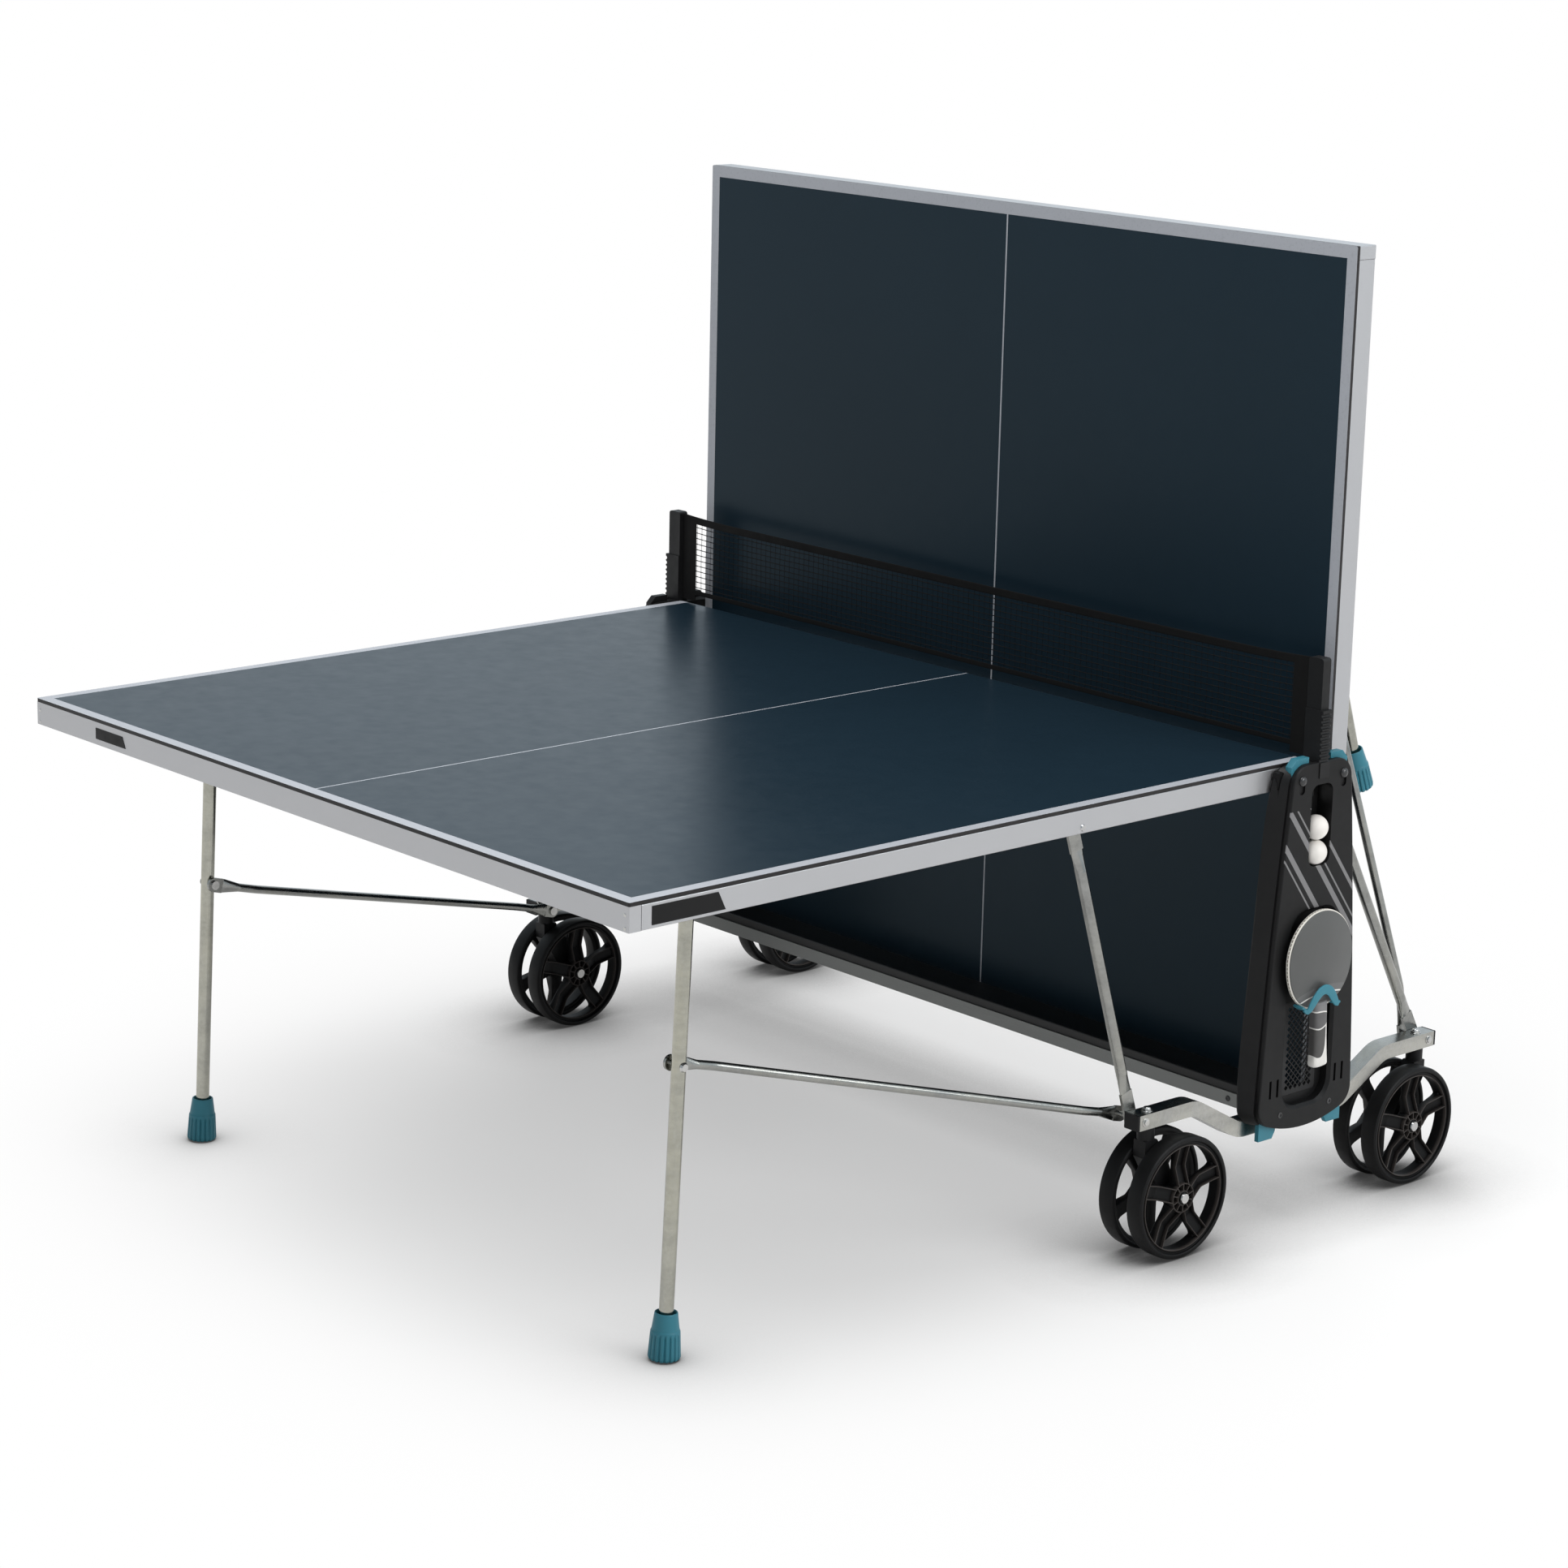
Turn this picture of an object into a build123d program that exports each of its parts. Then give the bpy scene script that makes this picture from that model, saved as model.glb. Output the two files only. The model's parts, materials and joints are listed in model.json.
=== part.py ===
# Folding ping pong table: the front half lies flat for play, the back half stands upright behind the net.
# +X runs along the net to the right, +Y from the playing half to the upright half, +Z up.
# Pieces are drawn with the net line over the origin and are moved along Y as they are written,
# so that the origin of the finished table is on the floor, in the middle of what it covers.
from build123d import *
from math import atan2, cos, degrees, hypot, radians, sin
import os

os.makedirs("parts", exist_ok=True)

# Playing surface
table_width = 1525.0
leaf_length = 1370.0
play_height = 760.0
net_gap = 5.0  # from the net line to the inner edge of a leaf that lies flat
board_thickness = 6.0
board_corner = 3.0

# Frame under each board
rail_width = 22.0
rail_height = 37.0
rail_wall = 1.5
tube_corner = 1.5  # rounding of square tubes and their plugs
bar_width = 30.0
bar_height = 20.0
bar_places = (250.0, 720.0, 1175.0)  # middle of each cross bar, from the net line
drain_hole_radius = 3.0
drain_hole_spacing = 500.0
hanger_thickness = 5.0
hanger_inset = 128.0  # from the middle of a leg inward to its hanger
hanger_margin = 22.0

# Upright leaf
folded_face = 54.0  # from the net line to the playing face of an upright leaf
folded_edge = 190.0  # height of the inner edge of an upright leaf

# Linkage: strut, stay and leg of one half, in a plane across the net line
anchor_out = 341.0  # pivots of strut and stay on the wheel arm
guide_depth = 22.0
strut_depth = 34.0
leg_depth = 28.0
leg_pivot_out = 1140.0
leg_lean = 2.5
leg_folded_lean = 19.0
running_fit = 0.08
clear = 0.3
past = 1.0  # how far a cutting shape runs past a face

# Tubes
strut_diameter = 18.0
stay_diameter = 14.0
leg_diameter = 22.0
tube_wall = 1.5
eye_thickness = 5.0
eye_margin = 12.0
flatten_length = 34.0
strut_flat_end = 46.0
stay_flat_end = 16.0
pivot_radius = 4.0
pivot_head_radius = 7.5
pivot_head_height = 3.5
pivot_tip_step = 2.0
head_taper = 30.0
leg_inset = 154.5  # from the side of a leaf inward to the middle of a leg
leg_bend_radius = 60.0
stay_gap = 5.7  # between a stay and the strut beside it
stay_straight = 84.0
stay_bend_radius = 90.0

# Feet
foot_radius = 24.5
foot_shoulder_radius = 22.0
foot_waist_radius = 20.5
foot_top_radius = 17.5
foot_height = 72.0
foot_shoulder = 44.0
foot_shoulder_step = 1.0
foot_edge = 3.5
foot_sole_thickness = 14.0
foot_mouth_radius = 14.5
foot_mouth_depth = 14.0
foot_flutes = 18
foot_flute_radius = 2.2
foot_flute_offset = 0.4

# Side panels
panel_gap = 3.5  # between the side of a leaf and the panel
panel_body_thickness = 25.0
cover_thickness = 9.0
panel_rise = 2.0  # above the playing face
panel_top_half = 66.0
panel_bottom_half = 112.0
panel_chin = 38.0  # from the bat recess down to the lowest point of the panel
panel_corner_rise = 26.0  # from that point up to the lower corners
panel_bulge = 5.0
panel_top_corner = 34.0
panel_bottom_corner = 34.0
panel_flare = 20.0
panel_step = 3.0
panel_shoulder = 2.0
panel_flank_edge = 5.0
cover_edge = 2.5
cover_slot_gap = 15.0  # from the recess to the nearer slot of a pair
cover_slot_spacing = 17.0
cover_slot_rise = 39.0  # above the bottom of the recess
cover_slot_width = 5.0
cover_slot_length = 30.0
cover_slot_depth = 4.0

# Guide tracks in the panels
runner_width = 12.0
runner_height = 28.0
runner_depth = 12.0
track_depth = 14.0
guide_pin_radius = 5.0

# Ball slot and bat recess
ball_radius = 20.0
ball_slot_half = 25.0
ball_slot_length = 133.0
ball_slot_drop = 36.0  # below the top of the panel
ball_slot_corner = 15.0
ball_slot_floor_gap = 1.0
ball_set_back = 10.0  # from the face of the panel to the middle of a ball
ball_window_radius = 16.0
ball_window_drop = 26.0  # below the top of the slot
recess_half = 54.0
recess_length = 322.0
recess_above_bat = 75.0  # from the middle of the bat up to the top of the recess
recess_depth = 18.0
recess_corner = 34.0
recess_bevel = 5.0
grille_half = 41.0
grille_length = 156.0
grille_margin = 14.0  # above the bottom of the recess
grille_thickness = 2.0
grille_rim = 5.0
grille_spacing = 11.0
grille_diamond = 6.5

# Bat and its clip
bat_stand_off = 12.0  # from the face of the panel to the middle of the blade
bat_drop = 317.0  # from the top of the panel down to the middle of the bat
bat_half_width = 76.0
bat_half_length = 79.0
bat_wood = 6.0
bat_rubber = 2.0
bat_edge = 2.0
handle_half_width = 14.0
rubber_gap = 2.0  # between the rubbers and the handle
handle_thickness = 8.0
handle_drop = 73.0  # from the middle of the bat down to the handle
handle_length = 114.0
handle_flare = 3.0
handle_edge = 3.6
clip_thickness = 4.0
clip_band = 14.0
clip_gap = 0.5
clip_rim = 11.0
clip_seat = 13.0
clip_throat = 20.0
clip_drop = 47.0  # from the middle of the bat down to the top of the arch
clip_shoulder_out = 29.0
clip_shoulder_fall = 11.0
clip_toe_out = 50.0
clip_toe_fall = 28.0
clip_heel_fall = 37.0
clip_sole_fall = 41.0

# Locks: a tab on top of the panel and a hook below it, joined by a rod
lock_thickness = 8.0
lock_tab_thickness = 13.0
lock_rod_gap = 4.5  # from the recess to the rod
lock_rod_width = 7.0
lock_tab_width = 40.0
lock_tab_rise = 9.0  # above the panel
lock_tab_sink = 12.0  # below the top of the panel
lock_tab_slope = 12.0
lock_hook_width = 39.5
lock_hook_length = 42.0
lock_hook_fall = 10.0  # below the panel
lock_hook_toe = 12.0

# Beam between the panels
beam_half = 34.0
beam_height = 35.0
beam_wall = 2.0
beam_corner = 3.0
trim_height = 23.0
trim_fit = 0.5
trim_wall = 2.5

# Wheel arms
arm_gap = 0.8  # between a strut and the arm beside it
arm_width = 30.0
arm_height = 25.0
arm_wall = 2.0
arm_end_margin = 13.0  # beyond the pivots
arm_knee_out = 228.0
arm_knee_in = 122.0
arm_drop = 60.0
arm_bend_radius = 55.0
plug_flange = 4.0
plug_depth = 8.0

# Casters
swivel_inset = 17.0  # from the pivots inward to the swivel
wheel_trail = 46.0
wheel_clearance = 17.5  # between a wheel and the arm above it
wheel_radius = 100.0
wheel_width = 32.0
wheel_gap = 28.0
tread_depth = 5.0
rim_thickness = 8.0
spoke_back = 8.0  # from the inner face of a wheel to the flat back of its spokes
spoke_front = 28.0
spoke_dip = 8.0  # how far a spoke's front sinks between hub and rim
spoke_dip_radius = 50.0
hub_pocket_depth = 12.0
hub_radius = 24.0
hub_pocket_radius = 3.4
hub_pocket_rim = 6.0  # from the edge of the hub to the middle of its pockets
hub_pockets = 10
spokes = 5
spoke_width = 23.0
spoke_root = 3.0  # how far a spoke runs into hub and rim
axle_radius = 6.0
axle_cap_radius = 8.5
axle_cap_height = 2.0
stem_radius = 6.0
collar_radius = 14.0
collar_length = 21.5
fork_half = 12.5
fork_boss_radius = 17.0
fork_neck_radius = 13.0
fork_neck_rise = 68.0  # above the axle
fork_shoulder = 22.0
axle_taper = 20.0

# Net and posts
net_height = 152.5
net_end_rise = 11.5
net_rise_length = 145.0  # along each end, where the top of the net climbs to its post
net_rise_start = 1.0
net_lift = 4.0  # above the playing face
net_thickness = 2.0
post_overhang = 1.0  # past the inner face of the panel
post_width = 30.0
post_half = 9.0
post_rise = 2.0  # above the ends of the net
post_foot_step = 1.5  # past the outer face of the panel
post_foot_half = 11.0
post_foot_rise = 84.0  # above the playing face
post_foot_sink = 24.0  # below the playing face
post_corner = 5.0
rack_spacing = 9.0
rack_teeth = 9
rack_radius = 3.2
rack_drop = 8.0  # below the top of the post's foot

# Screws
dome_radius = 8.0
dome_height = 5.0
screw_radius = 4.0
dome_screw_inset = 17.0  # from the side of the panel's top
dome_screw_drop = 25.0  # below the top of the panel
dome_pocket_width = 13.0
dome_pocket_length = 22.0
dome_pocket_depth = 3.0
cover_screw_radius = 5.0
cover_screw_out = 59.0
cover_screw_rise = 30.0  # above the lowest point of the panel
cover_screw_height = 0.8
screw_depth = 6.0
nut_radius = 9.5
nut_height = 7.0
nut_seat = 0.15
beam_screw_inset = 72.0  # from the wheel arm
beam_screw_radius = 2.5
beam_screw_head = 1.5

# Blank plates on the front frame
plate_thickness = 0.8
plate_slant = 0.5  # of its height
side_plate_height = 27.0
side_plate_length = 118.0
side_plate_from_corner = 40.0
end_plate_height = 18.0
end_plate_length = 78.0
end_plate_from_corner = 180.0

# Derived places
half_width = table_width / 2
leaf_middle = net_gap + leaf_length / 2
anchor_height = 2 * wheel_radius + wheel_clearance + arm_height / 2
arm_end = anchor_out + arm_end_margin
arm_low = anchor_height - arm_drop
swivel_out = anchor_out - swivel_inset
frame_bottom = board_thickness + rail_height
rail_inner = half_width - rail_width
guide_out = folded_face + guide_depth
guide_reach = guide_out - net_gap
strut_side = rail_inner - clear - eye_thickness / 2
stay_side = strut_side - strut_diameter / 2 - stay_gap - stay_diameter / 2
arm_inner = strut_side + eye_thickness / 2 + arm_gap
arm_side = arm_inner + arm_width / 2
leg_side = half_width - leg_inset
hanger_side = leg_side - hanger_inset

# Side panels, outward from the leaf and down from the top
panel_inner = half_width + panel_gap
panel_split = panel_inner + panel_body_thickness
panel_outer = panel_split + cover_thickness
panel_top = play_height + panel_rise
bat_side = panel_outer + bat_stand_off
bat_height = panel_top - bat_drop
handle_top = bat_height - handle_drop
handle_bottom = handle_top - handle_length
recess_top = bat_height + recess_above_bat
recess_bottom = recess_top - recess_length
panel_lowest = recess_bottom - panel_chin
panel_corner_height = panel_lowest + panel_corner_rise
grille_bottom = recess_bottom + grille_margin
ball_slot_top = panel_top - ball_slot_drop
ball_slot_bottom = ball_slot_top - ball_slot_length
ball_centre_side = panel_outer - ball_set_back

# The strut pivot is where one strut length serves both the flat and the upright leaf.
strut_reach = (
    (folded_face + strut_depth - anchor_out) ** 2
    - (play_height - strut_depth - anchor_height) ** 2
    - (net_gap - anchor_out) ** 2
    + (folded_edge - anchor_height) ** 2
) / (2 * ((net_gap - anchor_out) - (folded_edge - anchor_height)))

anchor = (anchor_out, anchor_height)


def lean_to(start, end):
    return degrees(atan2(end[0] - start[0], start[1] - end[1]))


def along(start, lean, distance):
    return (start[0] + distance * sin(radians(lean)), start[1] - distance * cos(radians(lean)))


def pull(start, lean):
    return (anchor[0] - start[0]) * sin(radians(lean)) - (anchor[1] - start[1]) * cos(radians(lean))


def reach_squared(start):
    return hypot(start[0] - anchor[0], start[1] - anchor[1]) ** 2


leg_flat = (leg_pivot_out, play_height - leg_depth)
leg_upright = (folded_face + leg_depth, folded_edge + leg_pivot_out - net_gap)
strut_flat = (net_gap + strut_reach, play_height - strut_depth)
strut_upright = (folded_face + strut_depth, folded_edge + strut_reach)

# The stay joins the leg where one stay length serves both positions.
stay_drop = (reach_squared(leg_upright) - reach_squared(leg_flat)) / (
    2 * (pull(leg_upright, leg_folded_lean) - pull(leg_flat, leg_lean))
)
stay_flat = along(leg_flat, leg_lean, stay_drop)
stay_upright = along(leg_upright, leg_folded_lean, stay_drop)
strut_length = hypot(strut_flat[0] - anchor_out, strut_flat[1] - anchor_height)
stay_length = hypot(stay_flat[0] - anchor_out, stay_flat[1] - anchor_height)

# The sole's lowest point touches the floor when the leg leans.
sole_radius = foot_radius - foot_edge
sole_reach = (leg_flat[1] - sole_radius * sin(radians(leg_lean))) / cos(radians(leg_lean))
leg_length = sole_reach - foot_sole_thickness

guide_flat = play_height - guide_depth
guide_upright = folded_edge + guide_reach

# The floor covered runs from the plate on the front end rail to the back of the wheels.
front_end = net_gap + leaf_length + plate_thickness
back_end = swivel_out - wheel_trail + wheel_radius
floor_middle = Location((0, (front_end - back_end) / 2, 0))

# Each half is built with its outer end toward +Y; the front half is then turned about the net line.
front_turn = Location((0, 0, 0), (0, 0, 180))
back_turn = Location()
leaf_flat = Location((0, 0, play_height))
leaf_stood = Location((0, folded_face, folded_edge - net_gap), (90, 0, 0))


def hung(pivot, lean):
    return Location((0, pivot[0], pivot[1]), (lean, 0, 0))


def save(name, pieces, place=Location()):
    placed = [piece.moved(floor_middle * place) for piece in pieces]
    whole = placed[0] if len(placed) == 1 else Compound(children=placed)
    whole.label = name
    export_step(whole, f"parts/{name}.step")


def both_sides(piece):
    return [piece, mirror(piece, about=Plane.YZ, mode=Mode.PRIVATE)]


# ---- Boards and frames, with the playing face at height 0 and the net line at Y = 0

with BuildPart() as board:
    with BuildSketch(Plane.XY.offset(-board_thickness)):
        with Locations((0, leaf_middle)):
            RectangleRounded(table_width, leaf_length, board_corner)
    extrude(amount=board_thickness)

with BuildPart() as end_rail:
    with BuildSketch(Plane.XY.offset(-frame_bottom)):
        with Locations((0, net_gap + rail_width / 2)):
            RectangleRounded(table_width, rail_width, tube_corner)
    extrude(amount=rail_height)
    with BuildSketch(Plane.XY.offset(-frame_bottom + rail_wall)):
        with Locations((0, net_gap + rail_width / 2)):
            Rectangle(table_width - 2 * rail_wall, rail_width - 2 * rail_wall)
    extrude(amount=rail_height - 2 * rail_wall, mode=Mode.SUBTRACT)
    with BuildSketch(Plane.XY.offset(-frame_bottom)):
        with Locations((0, net_gap + rail_width / 2)):
            with GridLocations(drain_hole_spacing, 1, 2, 1):
                Circle(drain_hole_radius)
    extrude(amount=rail_wall, mode=Mode.SUBTRACT)

side_rail_length = leaf_length - 2 * rail_width
rail_middle = -board_thickness - rail_height / 2

with BuildPart() as side_rail:
    with BuildSketch(Plane.XZ.offset(-net_gap - rail_width)):
        with Locations((half_width - rail_width / 2, rail_middle)):
            RectangleRounded(rail_width, rail_height, tube_corner)
            Rectangle(rail_width - 2 * rail_wall, rail_height - 2 * rail_wall, mode=Mode.SUBTRACT)
    extrude(amount=-side_rail_length)
    with BuildSketch(Plane.YZ.offset(rail_inner - past)):
        with Locations((guide_out, -guide_depth)):
            Circle(guide_pin_radius + running_fit)
        with Locations((net_gap + strut_reach, -strut_depth)):
            Circle(pivot_radius + running_fit)
    extrude(amount=rail_width + 2 * past, mode=Mode.SUBTRACT)

with BuildPart() as cross_bar:
    with BuildSketch(Plane.YZ.offset(-rail_inner)):
        with Locations((0, -board_thickness - bar_height / 2)):
            Rectangle(bar_width, bar_height)
            Rectangle(bar_width - 2 * rail_wall, bar_height - 2 * rail_wall, mode=Mode.SUBTRACT)
    extrude(amount=2 * rail_inner)

# The hanger hangs under the outermost cross bar and carries the leg tube in its bore.
hanger_inner = leg_pivot_out - hanger_margin
hanger_outer = bar_places[-1] - bar_width / 2

with BuildPart() as hanger:
    with BuildSketch(Plane.YZ.offset(hanger_side - hanger_thickness / 2)):
        with BuildLine():
            Polyline(
                (hanger_inner, -board_thickness),
                (hanger_outer, -board_thickness),
                (hanger_outer, -board_thickness - bar_height),
                (hanger_outer + bar_width, -board_thickness - bar_height),
                (hanger_outer + bar_width, -frame_bottom),
                (hanger_inner, -frame_bottom),
                close=True,
            )
        make_face()
        with Locations((leg_pivot_out, -leg_depth)):
            Circle(leg_diameter / 2 + running_fit, mode=Mode.SUBTRACT)
    extrude(amount=hanger_thickness)

far_rail = end_rail.part.moved(Location((0, leaf_length - rail_width, 0)))
frame_pieces = [end_rail.part, far_rail]
frame_pieces += both_sides(side_rail.part)
frame_pieces += [cross_bar.part.moved(Location((0, place, 0))) for place in bar_places]
frame_pieces += both_sides(hanger.part)

# Blank slanted plates on the outer corner of the front frame: one on the side rail, one on the end rail.
def plate_outline(length, height):
    with BuildSketch() as outline:
        with BuildLine():
            Polyline((0, 0), (length + plate_slant * height, 0), (length, height), (0, height), close=True)
        make_face()
    return outline.sketch


side_plate_corner = (
    -half_width,
    net_gap + leaf_length - side_plate_from_corner,
    -frame_bottom + (rail_height - side_plate_height) / 2,
)
end_plate_corner = (
    half_width - end_plate_from_corner,
    net_gap + leaf_length,
    -frame_bottom + (rail_height - end_plate_height) / 2,
)

with BuildPart() as side_plate:
    with BuildSketch(Plane(side_plate_corner, (0, -1, 0), (-1, 0, 0))):
        add(plate_outline(side_plate_length, side_plate_height))
    extrude(amount=plate_thickness)

with BuildPart() as end_plate:
    with BuildSketch(Plane(end_plate_corner, (-1, 0, 0), (0, 1, 0))):
        add(plate_outline(end_plate_length, end_plate_height))
    extrude(amount=plate_thickness)


# ---- Guide runners: a block that slides in the panel track, with a pin through the side rail

with BuildPart() as runner:
    with BuildSketch(Plane.YZ.offset(panel_inner + clear)):
        with Locations((guide_out, 0)):
            SlotOverall(runner_height, runner_width, rotation=90)
    extrude(amount=runner_depth)
    with BuildSketch(Plane.YZ.offset(rail_inner - past)):
        with Locations((guide_out, 0)):
            Circle(guide_pin_radius)
    extrude(amount=panel_inner + clear - rail_inner + past)

# ---- Tubes with flattened ends, hanging from their upper pivot along -Z


def tube_end(diameter, flat_end, side, height, direction):
    flat_start = height + direction * flat_end
    round_start = flat_start + direction * flatten_length
    with BuildPart() as end:
        with BuildSketch(Plane.YZ.offset(side - eye_thickness / 2)):
            with Locations((0, height)):
                Circle(eye_margin)
            with Locations((0, (height + flat_start) / 2)):
                Rectangle(2 * eye_margin, flat_end)
        extrude(amount=eye_thickness)
        with BuildSketch(Plane.XY.offset(flat_start)):
            with Locations((side, 0)):
                Ellipse(eye_thickness / 2, eye_margin)
        with BuildSketch(Plane.XY.offset(round_start)):
            with Locations((side, 0)):
                Circle(diameter / 2)
        loft()
        with BuildSketch(Plane.YZ.offset(side - eye_thickness)):
            with Locations((0, height)):
                Circle(pivot_radius + running_fit)
        extrude(amount=2 * eye_thickness, mode=Mode.SUBTRACT)
    return end.part


strut_end = strut_flat_end + flatten_length
stay_end = stay_flat_end + flatten_length

with BuildPart() as strut:
    with BuildSketch(Plane.XY.offset(-strut_end)):
        with Locations((strut_side, 0)):
            Circle(strut_diameter / 2)
            Circle(strut_diameter / 2 - tube_wall, mode=Mode.SUBTRACT)
    extrude(amount=-(strut_length - 2 * strut_end))
    add(tube_end(strut_diameter, strut_flat_end, strut_side, 0, -1))
    add(tube_end(strut_diameter, strut_flat_end, strut_side, -strut_length, 1))

# The upper bolt runs through the side rail to a head on its outer face; the lower one stops short of the arm.
strut_eye_inner = strut_side - eye_thickness / 2

with BuildPart() as strut_upper_bolt:
    with BuildSketch(Plane.YZ.offset(strut_eye_inner)):
        Circle(pivot_radius)
    extrude(amount=half_width - strut_eye_inner)
    with BuildSketch(Plane.YZ.offset(strut_eye_inner)):
        Circle(pivot_head_radius)
    extrude(amount=-pivot_head_height)
    with BuildSketch(Plane.YZ.offset(half_width)):
        Circle(pivot_head_radius - pivot_tip_step)
    extrude(amount=pivot_tip_step, taper=head_taper)

with BuildPart() as strut_lower_bolt:
    with BuildSketch(Plane.YZ.offset(strut_eye_inner)):
        with Locations((0, -strut_length)):
            Circle(pivot_radius)
    extrude(amount=arm_inner - clear - strut_eye_inner)
    with BuildSketch(Plane.YZ.offset(strut_eye_inner)):
        with Locations((0, -strut_length)):
            Circle(pivot_head_radius)
    extrude(amount=-pivot_head_height)

# The stay starts beside the leg, runs parallel to it and then slants out to the wheel arm.
leg_radius = leg_diameter / 2
stay_leg_side = leg_side - leg_radius - stay_diameter / 2 - 2 * clear

with BuildPart() as stay:
    with BuildLine() as stay_route:
        Polyline(
            (stay_leg_side, 0, -stay_end),
            (stay_leg_side, 0, -stay_straight),
            (stay_side, 0, -(stay_length - stay_straight)),
            (stay_side, 0, -(stay_length - stay_end)),
        )
        fillet(stay_route.vertices().sort_by(Axis.Z)[1:3], stay_bend_radius)
    with BuildSketch(Plane.XY.offset(-stay_end)):
        with Locations((stay_leg_side, 0)):
            Circle(stay_diameter / 2)
            Circle(stay_diameter / 2 - tube_wall, mode=Mode.SUBTRACT)
    sweep()
    add(tube_end(stay_diameter, stay_flat_end, stay_leg_side, 0, -1))
    add(tube_end(stay_diameter, stay_flat_end, stay_side, -stay_length, 1))

stay_eye_inner = stay_side - eye_thickness / 2
strut_tube_inner = strut_side - strut_diameter / 2

with BuildPart() as stay_upper_bolt:
    with BuildSketch(Plane.YZ.offset(stay_leg_side - eye_thickness / 2)):
        Circle(pivot_radius)
    extrude(amount=leg_side + leg_radius - stay_leg_side + eye_thickness / 2)
    with BuildSketch(Plane.YZ.offset(stay_leg_side - eye_thickness / 2)):
        Circle(pivot_head_radius)
    extrude(amount=-pivot_head_height)
    with BuildSketch(Plane.YZ.offset(leg_side + leg_radius)):
        Circle(pivot_head_radius)
    extrude(amount=pivot_head_height, taper=head_taper)

with BuildPart() as stay_lower_bolt:
    with BuildSketch(Plane.YZ.offset(stay_eye_inner)):
        with Locations((0, -stay_length)):
            Circle(pivot_radius)
    extrude(amount=strut_tube_inner - 2 * clear - stay_eye_inner)
    with BuildSketch(Plane.YZ.offset(stay_eye_inner)):
        with Locations((0, -stay_length)):
            Circle(pivot_head_radius)
    extrude(amount=-pivot_head_height)

# ---- Leg frame: one bent tube whose middle turns in the hangers

with BuildPart() as legs:
    with BuildLine() as leg_route:
        Polyline((-leg_side, 0, -leg_length), (-leg_side, 0, 0), (leg_side, 0, 0), (leg_side, 0, -leg_length))
        fillet(leg_route.vertices().group_by(Axis.Z)[-1], leg_bend_radius)
    with BuildSketch(Plane.XY.offset(-leg_length)):
        with Locations((-leg_side, 0)):
            Circle(leg_radius)
            Circle(leg_radius - tube_wall, mode=Mode.SUBTRACT)
    sweep()
    with BuildSketch(Plane.YZ.offset(-leg_side - leg_diameter)):
        with Locations((0, -stay_drop)):
            Circle(pivot_radius + running_fit)
    extrude(amount=2 * (leg_side + leg_diameter), mode=Mode.SUBTRACT)

# ---- Feet: fluted caps, drawn upright around the leg's axis with the sole at height 0

with BuildPart() as foot:
    with BuildSketch(Plane.XZ):
        with BuildLine():
            Polyline(
                (0, 0),
                (sole_radius, 0),
                (foot_radius, foot_edge),
                (foot_shoulder_radius, foot_shoulder),
                (foot_waist_radius, foot_shoulder + foot_shoulder_step),
                (foot_top_radius, foot_height),
                (foot_mouth_radius, foot_height),
                (foot_mouth_radius, foot_height - foot_mouth_depth),
                (leg_radius + clear, foot_height - foot_mouth_depth),
                (leg_radius + clear, foot_sole_thickness),
                (0, foot_sole_thickness),
                close=True,
            )
        make_face()
    revolve(axis=Axis.Z)
    flute_lean = degrees(atan2(foot_radius - foot_shoulder_radius, foot_shoulder - foot_edge))
    with PolarLocations(foot_radius + foot_flute_offset, foot_flutes):
        with Locations(Location((0, 0, foot_edge), (0, -flute_lean, 0))):
            Cylinder(foot_flute_radius, 2 * foot_shoulder, mode=Mode.SUBTRACT)

# ---- Side panels: a thick moulded body with flared flanks, and a flat cover screwed over it


def panel_outline(grow, top):
    top_half = panel_top_half + grow
    bottom_half = panel_bottom_half + grow
    side_out = (top_half + bottom_half) / 2 + panel_bulge
    side_height = (top + panel_corner_height) / 2
    low_right = (bottom_half, panel_corner_height)
    low_left = (-bottom_half, panel_corner_height)
    with BuildSketch() as outline:
        with BuildLine():
            Line((-top_half, top), (top_half, top))
            ThreePointArc((top_half, top), (side_out, side_height), low_right)
            ThreePointArc(low_right, (0, panel_lowest), low_left)
            ThreePointArc(low_left, (-side_out, side_height), (-top_half, top))
        make_face()
        corners = outline.vertices().group_by(Axis.Y)
        fillet(corners[-1], panel_top_corner)
        fillet(outline.vertices().group_by(Axis.Y)[0], panel_bottom_corner)
    return outline.sketch


body_top = panel_top - panel_shoulder
track_top = guide_flat + runner_height / 2 + clear
track_bottom = guide_upright - runner_height / 2 - clear
track_middle = (track_top + track_bottom) / 2
track_width = runner_width + 2 * clear
lock_outer = panel_split - clear
lock_rod_inner = recess_half + lock_rod_gap
lock_rod_outer = lock_rod_inner + lock_rod_width
lock_hook_outer = lock_rod_inner + lock_hook_width
lock_tab_outer = panel_top_half
lock_tab_inner = lock_tab_outer - lock_tab_width
lock_tab_top = panel_top + lock_tab_rise
lock_tab_bottom = panel_top - lock_tab_sink
lock_hook_bottom = panel_lowest - lock_hook_fall
lock_hook_top = lock_hook_bottom + lock_hook_length
rod_middle = (lock_rod_inner + lock_rod_outer) / 2
tab_middle = (lock_tab_inner + lock_tab_outer) / 2
rod_height = (lock_tab_bottom + lock_hook_top) / 2
rod_length = lock_tab_bottom - lock_hook_top
hook_middle = (lock_rod_inner + lock_hook_outer) / 2
recess_middle = (recess_top + recess_bottom) / 2
recess_floor = panel_outer - recess_depth
slot_middle = (ball_slot_top + ball_slot_bottom) / 2
ball_floor = ball_centre_side - ball_radius - ball_slot_floor_gap
grille_middle = grille_bottom + grille_length / 2
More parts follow.
